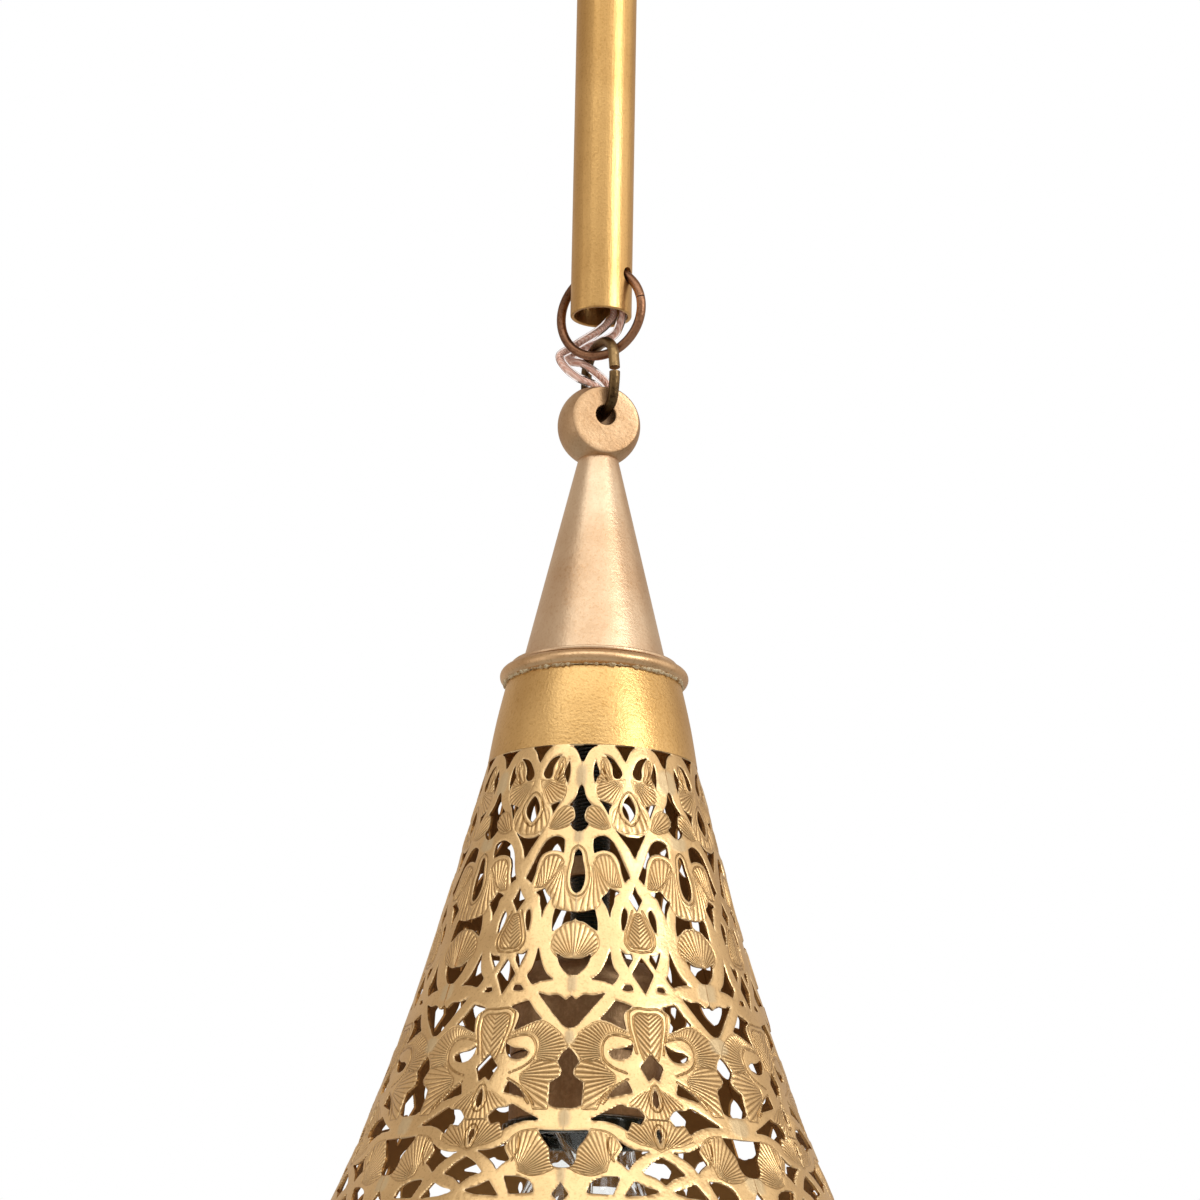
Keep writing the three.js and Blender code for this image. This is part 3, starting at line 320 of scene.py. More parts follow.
def twin_section(sides=32):
    """The outline of the flat twin: a circle whose halves are pushed apart by the offset, with a waist."""
    angle = even_angles(sides)
    across = TWIN_OFFSET * np.tanh(3 * np.cos(angle)) + CORE_RADIUS * np.cos(angle)
    waist = 1 - TWIN_WAIST * np.exp(-(across / 0.6) ** 2)
    return np.stack([across, CORE_RADIUS * np.sin(angle) * waist], -1)


def clear_pvc():
    made = Finish("clear_pvc", transmission_weight=1.0, ior=1.34, base_color="FBF1EC")
    haze = made.noise(made.place(), 300)
    return made.set(roughness=0.04 + haze * 0.1, normal=made.bump(haze, 0.0001))


def stranded_copper():
    made = Finish("stranded_copper", metallic=0.25, ior=1.4)
    strands = made.add("ShaderNodeTexWave", {"bands_direction": "DIAGONAL"},
                       {"Vector": made.place(), "Scale": 700, "Distortion": 1.5})
    colour = made.blend("DDAA94", "F6D8C8", strands)
    return made.set(base_color=colour, roughness=0.4, normal=made.bump(strands, 0.00008))


flex_finishes = [clear_pvc(), stranded_copper()]
tube_foot, tube_top = heights("hanging_tube")
above_tube = np.array([0, 0, tube_top])
below_tube = np.array([0, 0, tube_foot])


def place_at(route, length):
    """The point of a route that lies a given length along it."""
    return np.array([np.interp(length, route[1], route[0][:, k]) for k in range(3)])


def flex(name, route, start, end, wide, bodies, bend=None, twin=True):
    """One stretch of flex from one length to another along a route, as clear cover and copper cores. It rides
    on the first of the bodies; given a bend, it is left in place on no body, and the stretch that bend names
    is not used."""
    path, reach = route
    chosen = np.flatnonzero((reach > start + 0.05) & (reach < end - 0.05))
    near = [int(np.argmin(abs(reach - length))) for length in (start, end)]
    line = np.concatenate([[place_at(route, start)], path[chosen], [place_at(route, end)]])
    side, up = (np.concatenate([way[near[:1]], way[chosen], way[near[1:]]])
                for way in frames_along(path, wide))
    offsets = (-TWIN_OFFSET, TWIN_OFFSET) if twin else (0,)
    shapes = [(*swept(line, side, up, twin_section() if twin else circle(CORE_RADIUS)), 0)]
    shapes += [(*swept(line, side, up, circle(COPPER_RADIUS, 12, (offset, 0))), 1) for offset in offsets]
    made = piece(f"{name}_clear", shapes, flex_finishes, [name])
    if bend:
        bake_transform(made)
    else:
        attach(made, bodies[0])
    return side[-1]


# Lengths along the routes: how far the cord grip holds the flex, where it is cut, how much the tube's mouth
# holds, and where it has passed the ball and the link's foot.
GRIP_HOLDS = 13
UPPER_CUT = 34
MOUTH_HOLDS = 12
LOWER_START = 16
FIRST_CUT = 34
BALL_PASSED = 52
SECOND_CUT = 67
LINK_PASSED = 83
along_x = np.array([1.0, 0, 0])
in_tube = (3.45, 2.85)
upper_route = route_through(above_tube + np.array(
    [[0, 16, 41], [0, 16, 28], [0, 16, 20], [2, 15.8, 12.5], [5.6, 13.5, 7], [6.8, 9.6, 5],
     [5.2, 5.4, 3.6], [3.7, 3.1, -0.5], [*in_tube, -8], [*in_tube, -20]]))
upper_length = upper_route[1][-1]
flex("flex_upper_1", upper_route, 0, UPPER_CUT, along_x, ("ceiling", "upper_ring_body"),
     (GRIP_HOLDS, UPPER_CUT))
wide_in_tube = flex("flex_upper_2", upper_route, UPPER_CUT, upper_length, along_x,
                    ("upper_ring_body", "tube_body"), (UPPER_CUT, upper_length - MOUTH_HOLDS))
tube_route = route_through([upper_route[0][-1], below_tube + (*in_tube, LOWER_START)])
flex("flex_in_tube", tube_route, 0, tube_route[1][-1], wide_in_tube, ("tube_body",))
lower_routes = {
    "a": [[2.2, 3.4, LOWER_START], [2.2, 3.4, 8], [3.3, 2.9, 2.2], [1.4, 3, -0.8], [-0.6, 3.3, -2.6],
          [-5, 5.6, -4.8], [-7.8, 7, -6.3], [-10.5, 6.6, -8.4], [-9.5, 5.6, -11.4], [-5.9, 4.6, -15],
          [-1.2, 4.7, -17.3], [0.9, 7.8, -19], [1, 8.9, -24], [0.6, 9.2, -34], [-0.4, 11.1, -38.5],
          [-1.35, 15.3, -45], [-1.35, 15.8, -47.8], [-1.35, 14.2, -50.1], [-1.35, 9.08, -53.7],
          [-1.35, 5, -56.6], [-1.35, 2.2, -60.2], [-1.35, 1.2, -66]],
    "b": [[4.7, 2.3, LOWER_START], [4.7, 2.3, 8], [5.6, 0.8, 1.8], [5, 2.3, -0.9], [3.4, 4.3, -3.3],
          [-2.7, 7.5, -5.2], [-6.4, 9.4, -6.4], [-8.3, 9.3, -8.2], [-7.2, 7.2, -9.8], [-4.6, 5.1, -11],
          [-1.4, 3.9, -13.8], [1.4, 5.7, -15.8], [3.6, 8, -18.7], [3.9, 9.1, -24], [3.4, 9.3, -34],
          [2.2, 11.1, -38.5], [1.35, 15.3, -45], [1.35, 15.8, -47.8], [1.35, 14.2, -50.1],
          [1.35, 9.08, -53.7], [1.35, 5, -56.6], [1.35, 2.2, -60.2], [1.35, 1.2, -66]],
}
for core, points in lower_routes.items():
    route = route_through(below_tube + np.array(points))
    for number, (start, end, bend, bodies) in enumerate((
            (0, FIRST_CUT, (LOWER_START, FIRST_CUT), ("tube_body", "lower_ring_body")),
            (FIRST_CUT, SECOND_CUT, (FIRST_CUT, BALL_PASSED), ("lower_ring_body", "link_body")),
            (SECOND_CUT, route[1][-1], (SECOND_CUT, LINK_PASSED), ("link_body", "shade_body"))), 1):
        flex(f"flex_lower_{core}{number}", route, start, end, along_x, bodies, bend, twin=False)
holder_end = heights("holder_insulator")[1] + 0.3
rod_points = below_tube + np.array([[0, 1.2, -66.3], [0, 0.7, -71], [0, 0, -79], [0, 0, -100]])
rod_route = route_through([*rod_points, (0, 0, holder_end)])
flex("flex_in_rod", rod_route, 0, rod_route[1][-1], along_x, ("shade_body",))


# Ceiling plate and its fixings. Zinc-plated steel strap, screws and nuts, and a white terminal block,
# as bought; their solids have the right shape and only take a finish.
def mottled(name, first, second, noise, rough, swing, depth=None, stretch=(1, 1, 1), **constants):
    """A skin that a noise, given by its scale, detail and roughness, takes from one tone to another. The
    noise also changes how rough the skin is and, where a depth is given, its height."""
    made = Finish(name, **constants)
    spots = made.noise(made.place(stretch), *noise)
    made.set(base_color=made.blend(first, second, spots), roughness=rough + spots * swing)
    return made.set(normal=made.bump(spots, depth)) if depth else made


def moulded_white():
    made = Finish("moulded_white", ior=1.46)
    skin = made.noise(made.place(), 1500, 2)
    colour = made.blend("DDD8CC", "ECE8DF", made.noise(made.place(), 90))
    return made.set(base_color=colour, roughness=0.38 + skin * 0.1, normal=made.bump(skin, 0.00008))


def dress(node, finish):
    """Gives a frame node a finish in place of its plain one."""
    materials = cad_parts[node].data.materials
    materials.clear()
    materials.append(finish.material)


zinc_finish = mottled("zinc_plated_steel", "A9ABAA", "D8D6CE", (260, 4), 0.28, 0.2, 0.0001, metallic=1)
white_finish = moulded_white()
for node in ("ceiling_bracket", "canopy_screw_1", "canopy_screw_2", "loop_lock_nut", "finial_stud",
             "finial_nut", "rod_nut_upper", "rod_nut_lower"):
    dress(node, zinc_finish)
dress("terminal_block", white_finish)


# Canopy. A spun brass dish, 108 mm across, with a flat shelf for its two ball nuts and a deeper middle for
# the loop's nut; it has holes for the screws, the stud and the cord grip.
def softened(corners, reach, steps=6):
    """Rounds the corners of a closed outline: each gives way to a parabola that starts and ends at its
    reach from the corner."""
    corner = np.array(corners, float)
    reach = np.broadcast_to(np.asarray(reach, float), len(corner))[:, None]

    def towards(other):
        way = other - corner
        length = np.maximum(np.linalg.norm(way, axis=1, keepdims=True), 1e-9)
        return corner + way / length * np.minimum(reach, length * 0.49)

    s = np.linspace(0, 1, steps)[None, :, None]
    back, ahead = towards(np.roll(corner, 1, 0))[:, None], towards(np.roll(corner, -1, 0))[:, None]
    return ((1 - s) ** 2 * back + 2 * s * (1 - s) * corner[:, None] + s ** 2 * ahead).reshape(-1, 2)


def spun(radius, height, sides):
    """The grid of corners of radii, one for each height or for each height and angle, carried round the
    lamp's axis."""
    angle = even_angles(sides)
    radius = np.reshape(radius, (len(height), -1)) + np.zeros(sides)
    return np.stack([radius * np.cos(angle), radius * np.sin(angle), radius * 0 + height[:, None]], -1)


def turned(profile, sides=96):
    """A closed outline of radius and height turned about the lamp's axis."""
    radius, height = np.array(profile, float).T
    return closed(spun(radius, height, sides), cells(len(radius), sides, ring=True, loop=True))


def about(points, degrees, centre=(0, 0, 0)):
    """Turns points about an upright axis and moves them to a centre."""
    c, s = cos(radians(degrees)), sin(radians(degrees))
    return np.asarray(points) @ np.array([[c, s, 0], [-s, c, 0], [0, 0, 1]]) + np.array(centre, float)


def pierced(outer, inner, metal, ring=False, extras=None):
    """Cuts openings out of a double skin given as two grids of corners. metal is the distance to the nearest
    opening, below 0 inside one. A triangle that its zero line crosses is cut there, in proportion to the
    values at its corners, and a wall joins the skins at the cuts and along the edges. Gives the corners,
    the triangles, the skin of each (0 outer, 1 inner, 2 wall) and the extra values at the corners."""
    rows, columns = metal.shape
    value = metal.ravel().copy()
    small = 0.02
    value[abs(value) < small] = small
    corners = cells(rows, columns, ring=ring)
    solid = value[corners] > 0
    whole = corners[solid.all(1)]
    count = solid.sum(1)
    two, one = corners[count == 2], corners[count == 1]
    two = np.take_along_axis(two, (np.argmin(value[two] > 0, 1)[:, None] + np.arange(3)) % 3, 1)
    one = np.take_along_axis(one, (np.argmax(value[one] > 0, 1)[:, None] + np.arange(3)) % 3, 1)
    pairs = np.concatenate([two[:, [0, 1]], two[:, [0, 2]], one[:, [0, 1]], one[:, [0, 2]]])
    pairs.sort(axis=1)
    edges, which = np.unique(pairs, axis=0, return_inverse=True)
    which = which.reshape(-1) + value.size
    n = len(two)
    cut_1, cut_2 = which[:n], which[n:2 * n]
    cut_3, cut_4 = which[2 * n:2 * n + len(one)], which[2 * n + len(one):]
    faces = np.concatenate([
        whole, np.stack([two[:, 1], two[:, 2], cut_2], 1), np.stack([two[:, 1], cut_2, cut_1], 1),
        np.stack([one[:, 0], cut_3, cut_4], 1)])
    share = (value[edges[:, 0]] / (value[edges[:, 0]] - value[edges[:, 1]]))[:, None]

    def with_cuts(grid):
        flat = grid.reshape(value.size, -1)
        return np.concatenate([flat, flat[edges[:, 0]] * (1 - share) + flat[edges[:, 1]] * share])

    used, faces = np.unique(faces, return_inverse=True)
    faces = faces.reshape(-1, 3)
    skins = [with_cuts(grid)[used] for grid in (outer, inner)]
    total = len(used)
    sides = np.concatenate([faces[:, [0, 1]], faces[:, [1, 2]], faces[:, [2, 0]]])
    rim = sides[~np.isin(sides[:, 1] * total + sides[:, 0], sides[:, 0] * total + sides[:, 1])]
    a, b = rim.T
    walls = np.concatenate([np.stack([b, a, a + total], 1), np.stack([b, a + total, b + total], 1)])
    triangles = np.concatenate([faces, faces[:, ::-1] + total, walls])
    skin = np.repeat([0, 1, 2], [len(faces), len(faces), len(walls)])
    points = np.concatenate(skins)
    carried = {name: np.tile(with_cuts(grid)[used, 0], 2) for name, grid in (extras or {}).items()}
    return points, outwards(points, triangles), skin, carried


def satin(name, light, deep, rough, grain=(1, 1, 0.06), grain_scale=1800, patches=0.5, **more):
    """Rubbed metal: cloudy changes between two tones, fine flecks, and a grain stretched along one way that
    shows in the roughness and as the faintest bump."""
    made = Finish(name, metallic=1, **more)
    here = made.place()
    cloud = made.noise(here, 38, 5, 0.6)
    fleck = made.noise(here, 1500, 2)
    lines = made.noise(made.place(grain), grain_scale, 3, 0.6)
    tone = cloud.rise(0.35, 0.7) * patches + fleck.rise(0.5, 0.72) * 0.3 + lines * 0.16
    made.set(base_color=made.blend(light, deep, tone),
             roughness=rough + cloud * 0.1 + lines * 0.12 - fleck * 0.06)
    return made.set(normal=made.bump(lines * 0.6 + fleck * 0.4, 0.0001))


canopy_brass = satin("canopy_brass", "E9BE7E", "B98748", 0.3, (1, 1, 1), 900)
CANOPY_RADIUS = 54
CANOPY_WALL = 1.0
SIDE_CURVE = 6
SHELF_HEIGHT = -12.0
DOME_RADIUS = 30
DOME_CURVE = 7
DOME_DEPTH = 15
STUD_HOLE_RADIUS = 5.2
SCREW_REACH = 38
SCREW_HOLE_RADIUS = 2.2
GRIP_REACH = 16
GRIP_HOLE_RADIUS = 4.9
canopy_foot, canopy_top = heights("canopy")


def canopy_profile(steps=12):
    """Rim, upright side, quarter circle to the shelf, shelf, quarter ellipse to the foot and the foot."""
    turn = np.linspace(0, pi / 2, steps)
    rim = [[CANOPY_RADIUS, height] for height in (canopy_top, -2.2, -4.2)]
    side = np.stack([CANOPY_RADIUS - SIDE_CURVE * (1 - np.cos(turn)),
                     SHELF_HEIGHT + SIDE_CURVE * (1 - np.sin(turn))], -1)
    dome = np.stack([DOME_RADIUS - DOME_CURVE * (1 - np.cos(turn)),
                     SHELF_HEIGHT - DOME_DEPTH * np.sin(turn)], -1)
    shelf = np.stack([np.linspace(side[-1, 0] - 0.5, DOME_RADIUS + 0.4, 14), np.full(14, SHELF_HEIGHT)], -1)
    foot = np.stack([np.linspace(dome[-1, 0] - 0.4, STUD_HOLE_RADIUS, 16), np.full(16, canopy_foot)], -1)
    return np.concatenate([rim, side, shelf, dome, foot])


def inset(profile, wall):
    """A profile moved inwards by a wall, square to its own direction."""
    run = directions(profile)
    return profile + wall * np.stack([run[:, 1], -run[:, 0]], -1)


def canopy(sides=240):
    """The profile and its inset as two skins, pierced for the cord grip and the two screws."""
    outline = canopy_profile()
    skin = spun(*outline.T, sides)
    x, y, _ = skin.transpose(2, 0, 1)
    holes = [np.hypot(x, y - GRIP_REACH) - GRIP_HOLE_RADIUS,
             np.hypot(abs(x) - SCREW_REACH, y) - SCREW_HOLE_RADIUS]
    return pierced(skin, spun(*inset(outline, CANOPY_WALL).T, sides), np.min(holes, axis=0), ring=True)[:2]


piece("canopy_dish", [canopy()], [canopy_brass], ["canopy"], "ceiling")
BALL_NUT_RADIUS = 4.5
BALL_NUT_BORE_RADIUS = 2.2
BALL_NUT_BORE_END = -0.6


def ball_nut(x):
    """A ball with a small flat on top, where it meets the shelf, and a blind bore in the flat."""
    angle = np.linspace(-pi / 2, pi / 2 - 0.5, 24)
    ball = BALL_NUT_RADIUS * np.stack([np.cos(angle), np.sin(angle)], -1)
    outline = [(0, -BALL_NUT_RADIUS), *ball, (BALL_NUT_BORE_RADIUS, ball[-1][1]),
               (BALL_NUT_BORE_RADIUS, BALL_NUT_BORE_END), (0, BALL_NUT_BORE_END)]
    points, triangles = turned(outline, 48)
    return points + (x, 0, SHELF_HEIGHT - BALL_NUT_RADIUS), triangles


for number, x in ((1, -SCREW_REACH), (2, SCREW_REACH)):
    piece(f"ball_nut_{number}", [ball_nut(x)], [canopy_brass], [f"canopy_ball_nut_{number}"], "ceiling")
FITTING_SEAT = -27.3
GRIP_BORE_RADIUS = 2.85
GRIP_NECK_RADIUS = 4.6
GRIP_COLLAR_RADIUS = 6.2
grip_foot, grip_top = heights("cord_grip")
grip_outline = softened([
    (GRIP_BORE_RADIUS, grip_foot), (GRIP_COLLAR_RADIUS, grip_foot), (GRIP_COLLAR_RADIUS, FITTING_SEAT),
    (GRIP_NECK_RADIUS, FITTING_SEAT), (GRIP_NECK_RADIUS, grip_top), (GRIP_BORE_RADIUS, grip_top)], 0.5)
grip_points, grip_faces = turned(grip_outline, 64)
piece("cord_grip_bush", [(grip_points + (0, GRIP_REACH, 0), grip_faces)], [white_finish], ["cord_grip"],
      "ceiling")

# Canopy loop. A cast brass base and eye under the canopy, with a stud that goes up into the lock nut;
# its eye stands square to the tube's cross holes, whose direction turns the whole hanger.
TUBE_TURN = -28
EYE_RADIUS = 8
EYE_WIRE = 3.6
LOOP_BASE_RADIUS = 8
LOOP_BASE_HEIGHT = 4
STUD_RADIUS = 4.9
loop_foot, loop_top = heights("canopy_loop")


def upright_ring(radius, wire, seam=None, gap=0.3, steps=160, sides=24):
    """A round wire bent to a circle in the X-Z plane. With a seam it stays open there by the gap."""
    if seam is None:
        angle = even_angles(steps)
    else:
        angle = radians(seam) + np.linspace(gap / 2 / radius, 2 * pi - gap / 2 / radius, steps)
    zero = np.zeros(len(angle))
    out = np.stack([np.cos(angle), zero, np.sin(angle)], -1)
    side = np.broadcast_to([0.0, 1, 0], out.shape)
    return swept(out * radius, side, out, circle(wire / 2, sides), loop=seam is None)


eye_points, eye_faces = upright_ring(EYE_RADIUS, EYE_WIRE)
eye_points = about(about(eye_points, 90), TUBE_TURN, (0, 0, loop_foot + EYE_RADIUS + EYE_WIRE / 2))
base = softened([
    (0, FITTING_SEAT - LOOP_BASE_HEIGHT), (LOOP_BASE_RADIUS, FITTING_SEAT - LOOP_BASE_HEIGHT),
    (LOOP_BASE_RADIUS, FITTING_SEAT), (STUD_RADIUS, FITTING_SEAT), (STUD_RADIUS, loop_top), (0, loop_top)],
    [0, 1.2, 0.7, 0.2, 0.6, 0])
piece("canopy_loop_eye", [turned(base), (eye_points, eye_faces)], [canopy_brass], ["canopy_loop"], "ceiling")

# Rings. Two split rings of copper-brown wire, 2.4 mm thick, through the tube's cross holes; the ends of
# each meet in a fine butt seam.
RING_RADIUS = 11.8
RING_WIRE = 2.4
ring_copper = satin("ring_copper", "B08263", "5B3A27", 0.28, (1, 1, 1), 500, 0.9)
for name, node, body, seam in (("ring_top", "upper_ring", "upper_ring_body", 190),
                               ("ring_foot", "lower_ring", "lower_ring_body", 12)):
    foot, top = heights(node)
    points, faces = upright_ring(RING_RADIUS, RING_WIRE, seam)
    piece(name, [(about(points, TUBE_TURN, (0, 0, (foot + top) / 2)), faces)], [ring_copper], [node], body)

# Hanging tube. Drawn brass tube, 16 mm across and 1 mm thick, with a cross hole drilled near each end; its
# satin skin has a fine upright grain and small flecks.
TUBE_RADIUS = 8
TUBE_WALL = 1
TUBE_HOLE_RADIUS = 2.3
TUBE_HOLE_INSET = 10.3
TUBE_EDGE = 0.4
TUBE_EDGE_DRAW = 0.25


def tube(sides=144):
    """Angle and height give the two skins, with close rows round the holes; the edges of both ends are
    drawn in by a quarter ellipse."""
    length = tube_top - tube_foot
    near = np.concatenate([np.linspace(0, TUBE_EDGE, 6), np.arange(2 * TUBE_EDGE, 16, 0.35)])
    height = np.concatenate([near, np.linspace(18, length - 18, 40), length - near[::-1]])
    edge = np.minimum(np.minimum(height, length - height) / TUBE_EDGE, 1)
    drawn_in = TUBE_EDGE_DRAW * (1 - np.sqrt(1 - (1 - edge) ** 2))
    outer = spun(TUBE_RADIUS - drawn_in, height, sides)
    inner = spun(TUBE_RADIUS - TUBE_WALL + drawn_in, height, sides)
    y, z = outer[..., 1], outer[..., 2]
    holes = [np.hypot(y, z - TUBE_HOLE_INSET), np.hypot(y, z - length + TUBE_HOLE_INSET)]
    points, triangles, _, _ = pierced(outer, inner, np.min(holes, axis=0) - TUBE_HOLE_RADIUS, ring=True)
    return about(points, TUBE_TURN, (0, 0, tube_foot)), triangles


tube_brass = satin("tube_brass", "E6BA78", "B88A4C", 0.27, (1, 1, 0.04), 1500, 0.35)
piece("tube_skin", [tube()], [tube_brass], ["hanging_tube"], "tube_body")

# Link. An oval of dark antique wire, bent shut round the lower ring and the ball; its ends leave a slit in
# the right leg.
LINK_WIDTH = 16
LINK_HEIGHT = 20.4
LINK_TOP_RISE = 6
LINK_FOOT_RISE = 4.5
LINK_WIRE = 2.8
LINK_SLIT = 1.2
LINK_SLIT_DROP = 3.2
LINK_BOW = 0.7
LINK_TURN = -64


def link():
    """Legs under half an ellipse and over half a flatter one, started under the slit; the leg with the
    slit is bowed outwards by half a sine wave."""
    half, leg_top = LINK_WIDTH / 2, LINK_HEIGHT - LINK_TOP_RISE
    down = np.linspace(leg_top - LINK_SLIT_DROP - LINK_SLIT, LINK_FOOT_RISE, 16, endpoint=False)
    turn = np.linspace(0, pi, 48, endpoint=False)
    up = np.linspace(LINK_FOOT_RISE, leg_top, 16, endpoint=False)
    over = np.linspace(0, pi, 49)
    last = leg_top - LINK_SLIT_DROP * np.linspace(0, 1, 12)[1:]

    def bowed(height):
        return half + LINK_BOW * np.sin(pi * (height - LINK_FOOT_RISE) / (leg_top - LINK_FOOT_RISE))

    x = np.concatenate([bowed(down), half * np.cos(turn), np.full(16, -half), -half * np.cos(over),
                        bowed(last)])
    z = np.concatenate([down, LINK_FOOT_RISE - LINK_FOOT_RISE * np.sin(turn), up,
                        leg_top + LINK_TOP_RISE * np.sin(over), last])
    path = np.stack([x, np.zeros(len(x)), z], -1)
    side = np.broadcast_to([0.0, 1, 0], path.shape)
    points, triangles = swept(path, side, np.cross(directions(path), side), circle(LINK_WIRE / 2, 28))
    foot = heights("ball_link")[0] + LINK_WIRE / 2
    return about(points, LINK_TURN, (0, 0, foot)), triangles


link_brass = satin("link_brass", "A08258", "41301D", 0.26, (1, 1, 1), 350, 1.1)
piece("link_wire", [link()], [link_brass], ["ball_link"], "link_body")

# Ball. Turned champagne brass, milled flat on two sides, with a cross hole for the link and a seat below
# on the spire's tip.
BALL_RADIUS = 10.7
BALL_FLATS = 12.2
BALL_HOLE_RADIUS = 2.65
BALL_HOLE_RISE = 1.3
BALL_SEAT_CUT = 0.4
BALL_TOP_CUT = 1.6
BALL_TOP_BEND = 0.5
BALL_EDGE = 1.3
BALL_HOLE_EDGE = 0.35
BALL_TURN = 17


def ball():
    """A closed outline of reach and depth goes out over one flat, round the ball, back over the other flat
    and through the hole. Turned about the hole's axis, it moves with the hole near it, and is level at the
    seat below and, past a soft bend, at the top."""
    flat = BALL_FLATS / 2
    edge = np.sqrt(BALL_RADIUS ** 2 - flat ** 2)
    round_part = np.linspace(-flat, flat, 40)[1:-1]
    outline = softened([(BALL_HOLE_RADIUS, flat), (edge, flat),
                        *zip(np.sqrt(BALL_RADIUS ** 2 - round_part ** 2), -round_part),
                        (edge, -flat), (BALL_HOLE_RADIUS, -flat)],
                       [BALL_HOLE_EDGE, BALL_EDGE, *[0] * len(round_part), BALL_EDGE, BALL_HOLE_EDGE])
    spaced = np.concatenate([np.linspace(a, b, 12 if abs(b[0] - a[0]) > 2 else 2, endpoint=False)
                             for a, b in zip(outline, np.roll(outline, -1, 0))])
    reach, depth = spaced.T
    angle = even_angles(128)
    shift = BALL_HOLE_RISE * (1 - np.clip((reach - BALL_HOLE_RADIUS) / (edge - 1 - BALL_HOLE_RADIUS), 0, 1))
    x = reach[:, None] * np.cos(angle)
    z = np.maximum(reach[:, None] * np.sin(angle) + shift[:, None], -BALL_RADIUS + BALL_SEAT_CUT)
    over = np.maximum(z - BALL_RADIUS + BALL_TOP_CUT + BALL_TOP_BEND, 0)
    z = z - over + BALL_TOP_BEND * np.tanh(over / BALL_TOP_BEND)
    y = np.broadcast_to(depth[:, None], x.shape)
    points, triangles = closed(np.stack([x, y, z], -1), cells(*x.shape, ring=True, loop=True))
    return about(points, BALL_TURN, (0, 0, heights("finial_ball")[1] - BALL_RADIUS)), triangles


champagne = satin("champagne_brass", "ECD1B0", "CEA67E", 0.3, (1, 1, 1), 700, 0.6)
# The ball's finish is the champagne brass painted darker: painted shade on the ball.
champagne_with_painted_shade = satin("champagne_with_painted_shade", "DCBB94", "B28A62", 0.36, (1, 1, 1), 700, 0.75)
piece("ball_body", [ball()], [champagne_with_painted_shade], ["finial_ball"], "shade_body")

# Spire. A thin turned cone of the same champagne brass. Its solid tip is cupped for the ball, its foot has a
# lip that covers the edge of the neck plate, and a white bush lines the slanted hole behind for the flex.
spire_solid_foot, spire_top = heights("spire_cone")
spire_foot = heights("bridge_plate")[0] + 0.1
SPIRE_TOP_RADIUS = 5.1
SPIRE_FOOT_RADIUS = 18.3
SPIRE_LIP_RADIUS = 21.2
SPIRE_LIP_HEIGHT = 1.1
SPIRE_CUP = 0.75
SPIRE_WALL = 1.2
TIP_BORE_RADIUS = 2.6
TIP_EDGE_RADIUS = 4.8
TIP_THICKNESS = 5
BUSH_DROP = 14.6
BUSH_TILT = 55
BUSH_HOLE_RADIUS = 4.0
BUSH_BORE_RADIUS = 2.95
BUSH_NECK_RADIUS = 3.7
BUSH_COLLAR_RADIUS = 4.6
BUSH_BACK = -3
BUSH_SEAT = 5.4
BUSH_FRONT = 6.2


def at_bush(points):
    """Turns a shape made along Z to the slant of the flex hole and moves it there."""
    slope = (SPIRE_FOOT_RADIUS - SPIRE_TOP_RADIUS) / (spire_top - spire_solid_foot - SPIRE_LIP_HEIGHT)
    c, s = cos(radians(-BUSH_TILT)), sin(radians(-BUSH_TILT))
    tilt = np.array([[1, 0, 0], [0, c, s], [0, -s, c]])
    return points @ tilt + (0, SPIRE_TOP_RADIUS + slope * BUSH_DROP, spire_top - BUSH_DROP)


def spire(sides=160):
    """Outline of the outside from the tip to the lip's underside, and the same lines a wall further in."""
    lip = spire_foot + SPIRE_LIP_HEIGHT
    drop = np.linspace(0, 1, 90) ** 0.9
    cone = np.stack([SPIRE_TOP_RADIUS + (SPIRE_FOOT_RADIUS - SPIRE_TOP_RADIUS) * drop,
                     spire_top + (lip - spire_top) * drop], -1)
    tip = np.array([[TIP_BORE_RADIUS, spire_top], [TIP_EDGE_RADIUS, spire_top + SPIRE_CUP]])
    cone[0] = (SPIRE_TOP_RADIUS - 0.1, spire_top + SPIRE_CUP - 0.2)
    cone[-1] = (SPIRE_FOOT_RADIUS - 0.2, lip + 0.5)
    foot = softened([(SPIRE_FOOT_RADIUS, lip), (SPIRE_LIP_RADIUS, lip), (SPIRE_LIP_RADIUS, spire_foot),
                     (SPIRE_FOOT_RADIUS - SPIRE_WALL, spire_foot)], [0.3, 0.5, 0.4, 0])[:19]
    outer = np.concatenate([tip, cone, foot])
    inner = outer.copy()
    inner[:2, 1] = spire_top - TIP_THICKNESS
    cone_rows = slice(2, 2 + len(cone))
    inner[cone_rows, 0] = np.maximum(cone[:, 0] - SPIRE_WALL * 1.03, TIP_EDGE_RADIUS + 0.1)
    inner[cone_rows, 1] = np.minimum(cone[:, 1], spire_top - TIP_THICKNESS)
    inner[cone_rows.stop:] = [SPIRE_FOOT_RADIUS - SPIRE_WALL, spire_foot]
    inner[cone_rows.stop:-1, 1] += np.linspace(0.4, 0.01, len(foot) - 1)
    skin = spun(*outer.T, sides)
    axis = at_bush(np.array([[0, 0, 0], [0, 0, 1.0]]))
    way = axis[1] - axis[0]
    off = skin - axis[0]
    along = off @ way
    metal = np.linalg.norm(off - along[..., None] * way, axis=-1) - BUSH_HOLE_RADIUS
    return pierced(skin, spun(*inner.T, sides), np.where(along > -8, metal, 9), ring=True)[:2]


